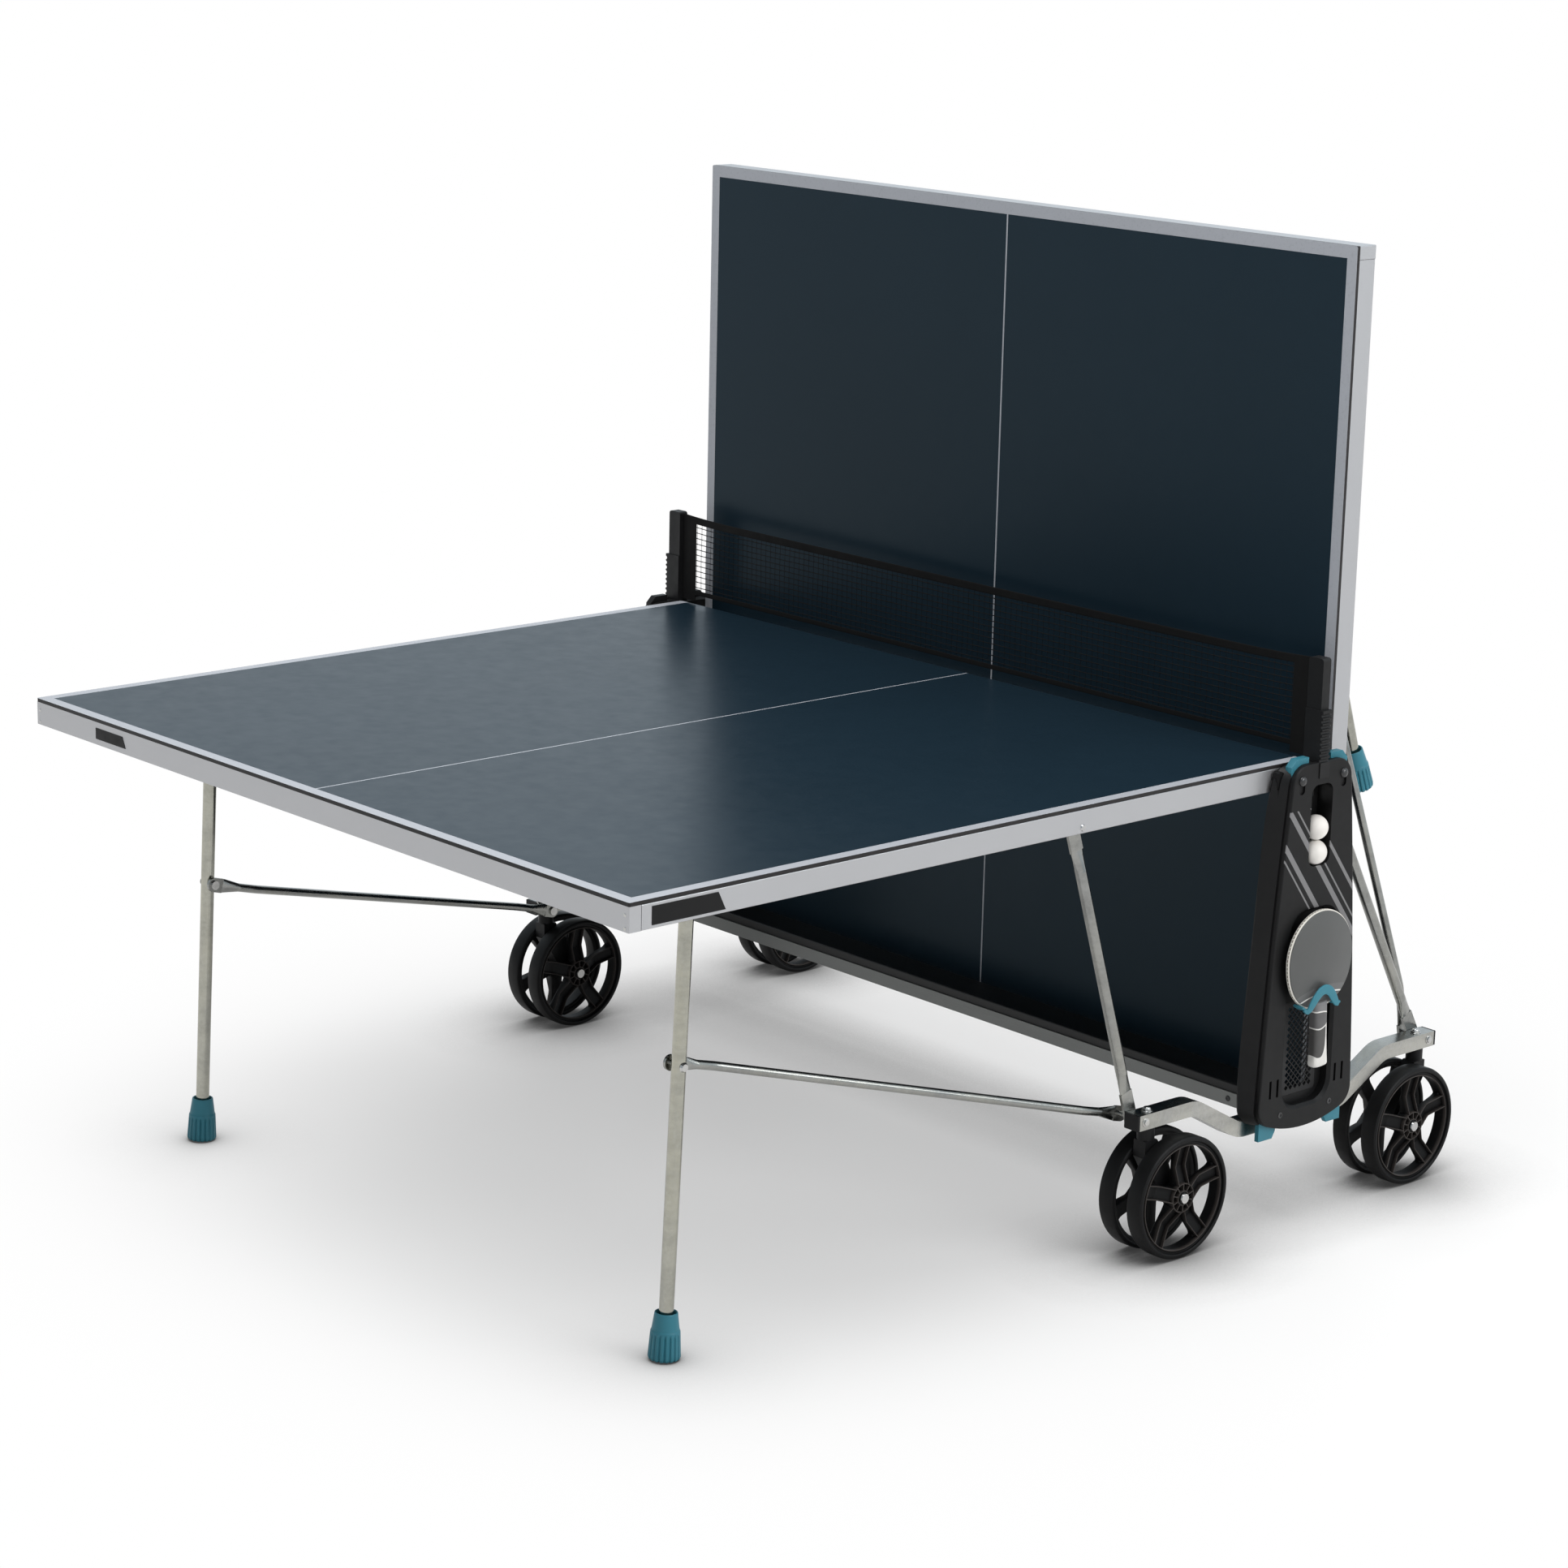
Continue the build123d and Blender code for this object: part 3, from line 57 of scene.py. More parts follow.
def pieceFrom(name, verts, faces, body, slot, material, smooth=True, crestHighlight=None):
    # one object from arrays of points and corners; faces is a list of index arrays, the last argument a painted
    # highlight's weight for each point
    mesh = bpy.data.meshes.new(name)
    polygons = [row.tolist() for block in faces for row in np.asarray(block)]
    mesh.from_pydata(np.asarray(verts, float).reshape(-1, 3).tolist(), [], polygons)
    mesh.polygons.foreach_set("use_smooth", [smooth] * len(mesh.polygons))
    mesh.materials.append(material)
    # the values for each point weight a painted highlight in the material
    if crestHighlight is not None:
        mesh.attributes.new("crestHighlight", "FLOAT", "POINT").data.foreach_set("value", np.asarray(crestHighlight, np.float32))
    mesh.update()
    piece = bpy.data.objects.new(name, mesh)
    bpy.context.scene.collection.objects.link(piece)
    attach(piece, body)
    return piece


def gridFaces(rows, columns, closeRows=False, closeColumns=False):
    # quads between neighbours of a grid stored row by row: the point at (r, c) has the number r * columns + c
    r = np.arange(rows if closeRows else rows - 1)[:, None]
    c = np.arange(columns if closeColumns else columns - 1)[None, :]
    nextR, nextC = (r + 1) % rows, (c + 1) % columns
    corners = np.stack([r * columns + c, r * columns + nextC, nextR * columns + nextC, nextR * columns + c], -1)
    return corners.reshape(-1, 4)


def cappedFaces(rows, columns):
    # the wall round a stack of closed loops, with one face over the first loop and one over the last
    first = np.arange(columns)
    return [gridFaces(rows, columns, closeColumns=True), first[::-1][None], ((rows - 1) * columns + first)[None]]


def joinGrids(grids):
    # several (points, faces) pairs as one list of points and one of faces
    verts, faces, start = [], [], 0
    for points, blocks in grids:
        points = np.asarray(points).reshape(-1, 3)
        verts.append(points)
        faces += [np.asarray(block) + start for block in blocks]
        start += len(points)
    return np.concatenate(verts), faces


def revolved(profile, steps, shape=None):
    # (radius, height) pairs turned round Z: x = radius cos(angle), y = radius sin(angle); shape may change the radius
    profile = np.asarray(profile, float)
    angle = np.linspace(0, 2 * pi, steps, endpoint=False)
    radius = np.repeat(profile[:, :1], steps, 1)
    height = np.repeat(profile[:, 1:2], steps, 1)
    if shape is not None:
        radius = shape(radius, height, angle[None, :])
    points = np.stack([radius * np.cos(angle), radius * np.sin(angle), height], -1)
    return points.reshape(-1, 3), cappedFaces(len(profile), steps)


def ringSolid(profile, steps):
    # a closed profile of (radius, height) pairs turned round Z in the same way, with no caps
    profile = np.asarray(profile, float)
    angle = np.linspace(0, 2 * pi, steps, endpoint=False)
    points = np.stack(
        [profile[:, :1] * np.cos(angle), profile[:, :1] * np.sin(angle), np.repeat(profile[:, 1:2], steps, 1)], -1
    )
    return points.reshape(-1, 3), [gridFaces(len(profile), steps, closeRows=True, closeColumns=True)]


def swept(path, section, hint=(0.0, 0.0, 1.0)):
    # (across, up) pairs, one set or one for each point, carried along a path:
    # point = path + across * (ahead x hint) + up * (that x ahead), so that up stays near hint
    path = np.asarray(path, float)
    section = np.asarray(section, float)
    if section.ndim == 2:
        section = np.repeat(section[None], len(path), 0)
    ahead = np.gradient(path, axis=0)
    ahead /= np.linalg.norm(ahead, axis=1, keepdims=True)
    across = np.cross(ahead, np.broadcast_to(np.asarray(hint, float), path.shape))
    across /= np.linalg.norm(across, axis=1, keepdims=True)
    up = np.cross(across, ahead)
    points = path[:, None] + section[..., :1] * across[:, None] + section[..., 1:2] * up[:, None]
    return points.reshape(-1, 3), cappedFaces(*points.shape[:2])


def squared(value, power):
    # a sine or cosine raised to a power with its sign kept: a circle becomes a superellipse
    return np.sign(value) * np.abs(value) ** power


def placed(grid, matrix):
    # a grid turned and moved: new point = rotation part * point + translation part
    points, blocks = grid
    matrix = np.array(matrix)
    return np.asarray(points).reshape(-1, 3) @ matrix[:3, :3].T + matrix[:3, 3], blocks


def fixNormals(piece, merge=1e-6):
    # joins doubled points and turns every face outward
    work = bmesh.new()
    work.from_mesh(piece.data)
    bmesh.ops.remove_doubles(work, verts=work.verts, dist=merge)
    bmesh.ops.recalc_face_normals(work, faces=work.faces)
    work.to_mesh(piece.data)
    work.free()


def softened(node, name, material):
    # a copy of a node whose edges sharper than an angle are rounded over a small width, shown in its place
    mesh = nodes[node].data.copy()
    mesh.name = name
    work = bmesh.new()
    work.from_mesh(mesh)
    bmesh.ops.remove_doubles(work, verts=work.verts, dist=1e-6)
    bmesh.ops.dissolve_limit(work, angle_limit=radians(0.5), verts=work.verts, edges=work.edges)
    work.to_mesh(mesh)
    work.free()
    piece = bpy.data.objects.new(mesh.name, mesh)
    bpy.context.scene.collection.objects.link(piece)
    mesh.polygons.foreach_set("use_smooth", [True] * len(mesh.polygons))
    bevel = piece.modifiers.new("edge", "BEVEL")
    for key, value in lockForm.items():
        setattr(bevel, key, value)
    mesh.materials.clear()
    mesh.materials.append(material)
    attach(piece, bodyOf[node])
    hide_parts(node)


bodyOf = {node: body for body, members in frame["record"]["behaviour"]["bodies"].items() for node in members}
slotOf = {row["node"]: row["material_slot"] for row in frame["record"]["subparts"]}


# materials, all on object coordinates or on a piece's own attribute

class Nodes:
    # short calls for the nodes and links of a new material, or of a world where one is given
    def __init__(self, name, world=None):
        self.material = world or bpy.data.materials.new(name)
        self.material.use_nodes = True
        self.tree = self.material.node_tree
        self.shader = self.tree.nodes["Background" if world else "Principled BSDF"]
        self.coords = self.tree.nodes.new("ShaderNodeTexCoord")
        self.place = self.coords.outputs["Object"]

    def feed(self, socket, value):
        if isinstance(value, bpy.types.NodeSocket):
            self.tree.links.new(value, socket)
        else:
            socket.default_value = value

    def add(self, kind, inputs=None, **settings):
        node = self.tree.nodes.new("ShaderNode" + kind)
        for key, value in settings.items():
            setattr(node, key, value)
        for key, value in (inputs or {}).items():
            self.feed(node.inputs[key], value)
        return node

    def math(self, operation, *values):
        return self.add("Math", dict(enumerate(values)), operation=operation).outputs[0]

    def plus(self, a, b):
        return self.math("ADD", a, b)

    def minus(self, a, b):
        return self.math("SUBTRACT", a, b)

    def times(self, a, b):
        return self.math("MULTIPLY", a, b)

    def over(self, a, b):
        return self.math("GREATER_THAN", a, b)

    def under(self, a, b):
        return self.math("LESS_THAN", a, b)

    def size(self, a):
        return self.math("ABSOLUTE", a)

    def axes(self):
        return list(self.add("SeparateXYZ", {0: self.place}).outputs)

    def stretched(self, scale):
        return self.add("Mapping", {"Scale": scale, "Vector": self.place}).outputs[0]

    def noise(self, scale, detail=3.0, roughness=0.5, vector=None):
        inputs = {"Scale": scale, "Detail": detail, "Roughness": roughness, "Vector": vector or self.place}
        return self.add("TexNoise", inputs).outputs["Fac"]

    def remap(self, value, low, high, toLow, toHigh, smooth=False):
        inputs = dict(enumerate((value, low, high, toLow, toHigh)))
        return self.add("MapRange", inputs, interpolation_type="SMOOTHSTEP" if smooth else "LINEAR").outputs[0]

    def mix(self, factor, first, second):
        return self.add("Mix", {0: factor, 6: first, 7: second}, data_type="RGBA").outputs[2]

    def paint(self, colour):
        self.feed(self.shader.inputs["Base Color"], colour)

    def roughen(self, pattern, low, high):
        # roughness rises from low to high over the middle of a pattern
        self.feed(self.shader.inputs["Roughness"], self.remap(pattern, 0.3, 0.7, low, high))

    def bump(self, height, strength, distance):
        node = self.add("Bump", {"Strength": strength, "Distance": distance, "Height": height})
        self.feed(self.shader.inputs["Normal"], node.outputs[0])


def tint(colour, factor=1.0):
    return (colour[0] * factor, colour[1] * factor, colour[2] * factor, 1.0)


def moulded(name, colour, roughness=0.42, grain=0.00005, grainScale=900.0, specular=0.25, crestHighlight=None):
    # moulded plastic: faint cloudy tone, fine grain, roughness that varies a little, and an optional painted
    # highlight
    n = Nodes(name)
    cloud = n.noise(14.0, 4.0)
    tone = n.mix(cloud, tint(colour, 0.82), tint(colour, 1.18))
    if crestHighlight is not None:
        # a painted highlight: the given colour laid over the points that the piece's attribute weights
        along = n.add("Attribute", attribute_name="crestHighlight")
        tone = n.mix(along.outputs["Fac"], tone, tint(crestHighlight))
    n.paint(tone)
    n.roughen(n.noise(60.0), roughness - 0.05, roughness + 0.07)
    n.shader.inputs["Specular IOR Level"].default_value = specular
    n.bump(n.noise(grainScale, 2.0), 0.6, grain)
    return n.material


def coatedSteel(name, colour, roughness=0.36, metallic=0.75, speck=0.10):
    # steel with a pale metallic coat: fine sparkle, faint cloudiness
    n = Nodes(name)
    sparkle = n.noise(1100.0, 1.0)
    cloud = n.noise(9.0, 3.0)
    tone = n.plus(n.times(sparkle, speck * 2), n.times(cloud, speck))
    n.paint(n.mix(tone, tint(colour, 0.86), tint(colour, 1.3)))
    n.roughen(sparkle, roughness - 0.06, roughness + 0.08)
    n.shader.inputs["Metallic"].default_value = metallic
    n.bump(sparkle, 0.35, 0.00002)
    return n.material


def zincTube(name, colour, roughness=0.27, smearDark=0.45, cast=0.94):
    # galvanised tube: streaks along the length, broad smears, soft spangle, a slight yellow cast in places
    n = Nodes(name)
    streak = n.noise(40.0, 4.0, 0.6, n.stretched((1.0, 0.35, 0.06)))
    smear = n.noise(26.0, 5.0, 0.65, n.stretched((0.5, 0.12, 0.9)))
    spangle = n.noise(150.0, 2.0)
    yellow = tint((colour[0] * 1.02, colour[1], colour[2] * cast))
    tone = n.mix(n.remap(streak, 0.35, 0.65, 0.0, 1.0), tint(colour, 0.84), yellow)
    tone = n.mix(n.remap(smear, 0.42, 0.70, 0.0, smearDark), tone, tint(colour, 0.5))
    tone = n.mix(n.remap(spangle, 0.4, 0.75, 0.0, 0.3), tone, tint(colour, 1.14))
    n.paint(tone)
    n.roughen(streak, roughness - 0.07, roughness + 0.1)
    n.shader.inputs["Metallic"].default_value = 1.0
    n.bump(spangle, 0.2, 0.00003)
    return n.material


boardLook = {
    "blue": (0.0095, 0.0215, 0.0330), "line": (0.43, 0.45, 0.49), "edge": (0.030, 0.027, 0.027),
    "back": (0.016, 0.019, 0.022), "border": 0.020, "centre": 0.0016, "roughness": 0.30, "specular": 0.14,
    "mirrored": (0.72, 0.92, 1.0, 1.0), "sidesFrom": 0.00005, "backFrom": 0.00575,
}


def boardMaterial(name, outAxis, innerEdge, outerEdge, faceAxis, face, faceSign):
    # satin laminate: painted lines within a border of the side and end edges and along the middle of the playing
    # face, dark sides and a plain back, told apart by the depth below that face
    look = boardLook
    n = Nodes(name)
    place = n.axes()
    across = n.size(place[0])
    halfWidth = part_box(name.replace("Laminate", "_board"))[1].x
    side = n.over(across, halfWidth - look["border"])
    innerSign = 1.0 if innerEdge > outerEdge else -1.0
    fromInner = n.times(n.minus(innerEdge, place[outAxis]), innerSign)
    end = n.over(fromInner, abs(outerEdge - innerEdge) - look["border"])
    centre = n.under(across, look["centre"])
    lines = n.math("MAXIMUM", n.math("MAXIMUM", side, end), centre)
    worn = n.remap(n.noise(220.0, 3.0), 0.25, 0.45, 0.9, 1.0)
    lines = n.times(lines, worn)
    cloud = n.noise(3.0, 3.0)
    blue = n.mix(cloud, tint(look["blue"], 0.9), tint(look["blue"], 1.1))
    top = n.mix(lines, blue, tint(look["line"]))
    depth = n.times(n.minus(face, place[faceAxis]), faceSign)
    sides = n.over(depth, look["sidesFrom"])
    back = n.over(depth, look["backFrom"])
    n.paint(n.mix(back, n.mix(sides, top, tint(look["edge"])), tint(look["back"])))
    n.roughen(n.noise(35.0, 5.0), look["roughness"] - 0.02, look["roughness"] + 0.03)
    n.shader.inputs["Specular IOR Level"].default_value = look["specular"]
    n.shader.inputs["Specular Tint"].default_value = look["mirrored"]
    n.bump(n.noise(1300.0, 2.0), 0.25, 0.00003)
    return n.material


coverLook = {
    "slant": (0.80, 0.60), "low": 0.455, "high": 0.690, "face": 0.7985, "grey": (0.20, 0.20, 0.205, 1.0),
    # where each stripe lies along the slant, and half its width
    "stripes": ((0.355, 0.0045), (0.369, 0.0015), (0.395, 0.0030), (0.302, 0.0015), (0.316, 0.0045)),
}


def coverMaterial(name, colour):
    # black grain with plain stripes across the middle of the outer face, each where slant . (y, z) is near its place
    look = coverLook
    n = Nodes(name)
    x, y, z = n.axes()
    u = n.minus(y, netLine)
    slant = n.plus(n.times(u, look["slant"][0]), n.times(z, look["slant"][1]))
    stripes = None
    for centre, width in look["stripes"]:
        away = n.size(n.minus(slant, centre))
        band = n.under(away, width)
        stripes = band if stripes is None else n.math("MAXIMUM", stripes, band)
    inside = n.times(n.over(z, look["low"]), n.under(z, look["high"]))
    stripes = n.times(stripes, inside)
    face = n.over(n.size(x), look["face"])
    stripes = n.times(stripes, face)
    cloud = n.noise(14.0, 4.0)
    black = n.mix(cloud, tint(colour, 0.85), tint(colour, 1.15))
    n.paint(n.mix(stripes, black, look["grey"]))
    n.roughen(n.noise(60.0), 0.38, 0.48)
    n.shader.inputs["Specular IOR Level"].default_value = 0.18
    n.bump(n.noise(900.0, 2.0), 0.6, 0.00005)
    return n.material


frontBox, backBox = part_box("front_board"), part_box("back_board")
frontLaminate = boardMaterial("frontLaminate", 1, frontBox[1].y, frontBox[0].y, 2, frontBox[1].z, 1.0)
backLaminate = boardMaterial("backLaminate", 2, backBox[0].z, backBox[1].z, 1, backBox[0].y, -1.0)
railSilver = coatedSteel("railSilver", (0.50, 0.505, 0.52))
legZinc = zincTube("legZinc", (0.41, 0.41, 0.37), roughness=0.17, smearDark=0.5, cast=0.92)
# struts and stays: a darker copy of the zinc, its darkness partly painted shade for tubes under the boards
shadedBraceZinc = zincTube("shadedBraceZinc", (0.335, 0.34, 0.33), roughness=0.22, smearDark=0.6)
armZinc = zincTube("armZinc", (0.45, 0.452, 0.435), roughness=0.24, smearDark=0.6)
boltZinc = zincTube("boltZinc", (0.58, 0.58, 0.58), roughness=0.24, smearDark=0.3)
panelBlack = moulded("panelBlack", (0.0075, 0.0075, 0.0078), 0.44, specular=0.18)
coverBlack = coverMaterial("coverBlack", (0.0080, 0.0080, 0.0083))
softBlack = moulded("softBlack", (0.0085, 0.0085, 0.0088), 0.5)
# the wheels' second colour is a painted highlight on the crests of their rims, hubs and ribs
wheelBlack = moulded(
    "wheelBlack", (0.0050, 0.0050, 0.0052), 0.45, grain=0.00006, grainScale=700.0, specular=0.16,
    crestHighlight=(0.048, 0.042, 0.039),
)
tealPlastic = moulded("tealPlastic", (0.040, 0.195, 0.255), 0.40)
beamBlack = coatedSteel("beamBlack", (0.014, 0.014, 0.014), 0.42, metallic=0.2, speck=0.2)
troughGrey = coatedSteel("troughGrey", (0.26, 0.268, 0.26), 0.42, metallic=0.4, speck=0.12)
grilleBlack = moulded("grilleBlack", (0.019, 0.019, 0.0195), 0.5)
ballWhite = moulded("ballWhite", (0.84, 0.815, 0.775), 0.35, grain=0.00002, grainScale=1500.0)
screwBlack = moulded("screwBlack", (0.016, 0.016, 0.017), 0.27, grain=0.00001, specular=0.6)
netBlack = moulded("netBlack", (0.0085, 0.0083, 0.0083), 0.75, grain=0.00008, grainScale=1800.0, specular=0.12)
bladeLow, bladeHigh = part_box("bat_blade")
handleLow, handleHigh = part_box("bat_handle")
batLook = {
    "rise": 0.079, "lean": 3.2, "stripeDrop": 0.2675, "stripeRadius": 0.2080, "stripe": 0.0011, "bandWide": 0.0120,
    "dashes": 74.0, "dashFrom": -0.45, "layerOff": 0.0003, "layerHalf": 0.0008,
    "cream": (0.74, 0.72, 0.66), "ply": (0.12, 0.10, 0.08), "white": (0.78, 0.77, 0.74),
    "rubber": (0.096, 0.099, 0.098), "band": (0.130, 0.132, 0.132), "low": (0.105, 0.107, 0.108),
}
gripLook = {
    # millimetres on the handle, u across from 8 beside its middle and v up from its lower end
    "aside": 8.0, "ringHigh": 99.0, "ringLow": 70.0, "bendHigh": 0.010, "bendLow": 0.020, "ringHalf": 1.1,
    "inlayWide": 15.0, "inlayHigh": 50.0, "inlayAt": 72.0, "inlayPower": 2.6, "soil": (0.02, 0.02, 0.02, 1.0),
    "top": (0.205, 0.205, 0.212), "mid": (0.120, 0.118, 0.120), "dark": (0.085, 0.083, 0.082),
}
batLook["middle"] = bladeHigh.z - batLook["rise"]


def batAxes(n):
    # x, and the place across and up on the bat: (y, z) from the middle of the blade, turned back by its lean
    x, y, z = n.axes()
    lean = radians(batLook["lean"])
    y, z = n.minus(y, netLine), n.minus(z, batLook["middle"])
    across = n.plus(n.times(y, cos(lean)), n.times(z, sin(lean)))
    up = n.minus(n.times(z, cos(lean)), n.times(y, sin(lean)))
    return x, across, up


def woodMaterial(name):
    # pale ply edge with one dark layer broken into dashes round the rim
    look = batLook
    n = Nodes(name)
    x, across, up = batAxes(n)
    turn = n.math("ARCTAN2", up, across)
    dash = n.over(n.math("SINE", n.times(turn, look["dashes"])), look["dashFrom"])
    off = n.size(n.minus(x, (bladeLow.x + bladeHigh.x) / 2 + look["layerOff"]))
    layer = n.times(n.under(off, look["layerHalf"]), dash)
    grain = n.noise(30.0, 5.0, 0.6, n.stretched((9.0, 1.0, 1.0)))
    cream = n.mix(grain, tint(look["cream"], 0.86), tint(look["cream"], 1.1))
    n.paint(n.mix(layer, cream, tint(look["ply"])))
    n.shader.inputs["Roughness"].default_value = 0.45
    n.bump(grain, 0.3, 0.0001)
    return n.material


def rubberMaterial(name):
    # smooth grey sheet; a white arc across its foot with a paler band above it, both round a centre below the bat
    look = batLook
    n = Nodes(name)
    _, across, up = batAxes(n)
    up = n.plus(up, look["stripeDrop"])
    away = n.math("SQRT", n.plus(n.times(across, across), n.times(up, up)))
    past = n.minus(away, look["stripeRadius"])
    stripe = n.under(n.size(past), look["stripe"])
    band = n.times(n.over(past, 0.0), n.under(past, look["bandWide"]))
    low = n.under(past, 0.0)
    cloud = n.noise(11.0, 4.0)
    tone = n.mix(cloud, tint(look["rubber"], 0.88), tint(look["rubber"], 1.10))
    tone = n.mix(band, tone, tint(look["band"]))
    tone = n.mix(low, tone, tint(look["low"]))
    n.paint(n.mix(stripe, tone, tint(look["white"])))
    n.roughen(n.noise(25.0), 0.30, 0.38)
    n.shader.inputs["Specular IOR Level"].default_value = 0.3
    n.bump(n.noise(1600.0, 2.0), 0.4, 0.00002)
    return n.material


def gripMaterial(name):
    # grey in three tones with a white end; two white rings where v + bend * (u + aside) squared meets a height,
    # and a dark inlay inside |u| and |v| to a power summing to one, cut off by the lower ring
    look, grip = batLook, gripLook
    n = Nodes(name)
    _, across, up = batAxes(n)
    u = n.times(across, 1000.0)
    v = n.times(n.plus(up, look["middle"] - handleLow.z), 1000.0)
    aside = n.plus(u, grip["aside"])
    bend = n.math("POWER", aside, 2.0)
    upper = n.plus(n.minus(v, grip["ringHigh"]), n.times(bend, grip["bendHigh"]))
    lower = n.minus(n.minus(v, grip["ringLow"]), n.times(bend, grip["bendLow"]))
    high = n.under(n.size(upper), grip["ringHalf"])
    low = n.under(n.size(lower), grip["ringHalf"])
    rings = n.math("MAXIMUM", high, low)
    du = n.size(n.math("DIVIDE", aside, grip["inlayWide"]))
    dv = n.size(n.math("DIVIDE", n.minus(v, grip["inlayAt"]), grip["inlayHigh"]))
    inlay = n.plus(n.math("POWER", du, grip["inlayPower"]), n.math("POWER", dv, grip["inlayPower"]))
    inside = n.under(inlay, 1.0)
    below = n.under(lower, 0.0)
    above = n.over(upper, 0.0)
    white = tint(look["white"])
    tone = n.mix(above, tint(grip["mid"]), tint(grip["top"]))
    tone = n.mix(below, tone, n.mix(inside, white, tint(grip["dark"])))
    tone = n.mix(rings, tone, white)
    n.paint(n.mix(n.remap(n.noise(90.0, 3.0), 0.3, 0.7, 0.0, 0.12), tone, grip["soil"]))
    n.shader.inputs["Roughness"].default_value = 0.42
    n.shader.inputs["Specular IOR Level"].default_value = 0.3
    n.bump(n.noise(1200.0, 2.0), 0.5, 0.00003)
    return n.material


batWood, batRubber, gripGrey = woodMaterial("batWood"), rubberMaterial("batRubber"), gripMaterial("gripGrey")
print("materials made")

# the material of each slot, then those of single nodes that differ from their slot
looks = {
    "blue_board": None, "silver_steel": railSilver, "zinc_steel": boltZinc, "teal_plastic": tealPlastic,
    "black_plastic": panelBlack, "wheel_black": wheelBlack, "black_steel": beamBlack, "grey_steel": troughGrey,
    "net_cloth": netBlack, "white_ball": ballWhite, "bat_wood": batWood, "bat_rubber": batRubber,
    "bat_grip": gripGrey,
}
special = {
    "front_board": frontLaminate, "back_board": backLaminate,
    "right_panel_cover": coverBlack, "left_panel_cover": coverBlack,
    "bat_recess_grilles": grilleBlack, "net_posts": softBlack,
    "front_legs": legZinc, "back_legs": legZinc, "front_stays": shadedBraceZinc, "back_stays": shadedBraceZinc,
    "front_struts": shadedBraceZinc, "back_struts": shadedBraceZinc, "left_wheel_arm": armZinc, "right_wheel_arm": armZinc,
}
for name, node in nodes.items():
    node.data.materials.clear()
    node.data.materials.append(special.get(name) or looks[slotOf[name]])


def finished(piece, angle, node=None, merge=1e-6):
    # faces turned outward, shading that breaks at edges sharper than the angle, shown in place of the node if named
    fixNormals(piece, merge)
    piece.data.set_sharp_from_angle(angle=radians(angle))
    if node:
        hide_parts(node)


def strands(centres, radius, across, up):
    # many threads at once: four-sided tubes with corners at centre +- radius * across and centre +- radius * up,
    # where centres is an array of (thread, point, xyz)
    across, up = np.asarray(across, float), np.asarray(up, float)
    corners = np.stack([across, up, -across, -up])
    points = centres[:, :, None] + radius[..., None, None] * corners
    count, length = centres.shape[:2]
    one = gridFaces(length, 4, closeColumns=True)
    ends = np.array([[3, 2, 1, 0], [0, 1, 2, 3]]) + np.array([[0], [(length - 1) * 4]])
    block = np.concatenate([one, ends])
    faces = (block[None] + (np.arange(count) * length * 4)[:, None, None]).reshape(-1, 4)
    return points.reshape(-1, 3), [faces]


def smoothStep(value, low, high):
    # 3 t squared - 2 t cubed, where t runs from 0 at low to 1 at high
    t = np.clip((np.asarray(value, float) - low) / (high - low), 0, 1)
    return t * t * (3 - 2 * t)


# the net

netForm = {
    "rows": 12, "columns": 114, "weft": 0.00062, "warp": 0.00042, "knot": 1.55, "topBand": 0.0135,
    "bottomBand": 0.0085, "sleeve": 0.037, "bandHalf": 0.0009, "rise": 0.0045, "riseLength": 0.145, "bow": 0.001,
    "hang": 0.0115, "tuck": 0.004, "lap": 0.002, "sway": 0.0003, "drift": 0.0005, "ripple": 0.06, "bandSteps": 161,
    "loopSteps": 36, "sleeveSteps": 25,
    # half of a tape's section, as shares of its thickness and of its height
    "tape": ((-1, -0.72), (-0.7, -0.97), (0, -1), (0.7, -0.97), (1, -0.72)),
}


def netTop(x, high):
    # level in the middle, a very slight bow, and a climb with the square of the distance to each post
    away = np.abs(x)
    start = high.x - netForm["riseLength"]
    climb = np.clip((away - start) / netForm["riseLength"], 0, 1) ** 2
    bow = netForm["bow"] * (np.minimum(away, start) / start) ** 2
    return high.z - netForm["rise"] - netForm["bow"] + bow + netForm["rise"] * climb


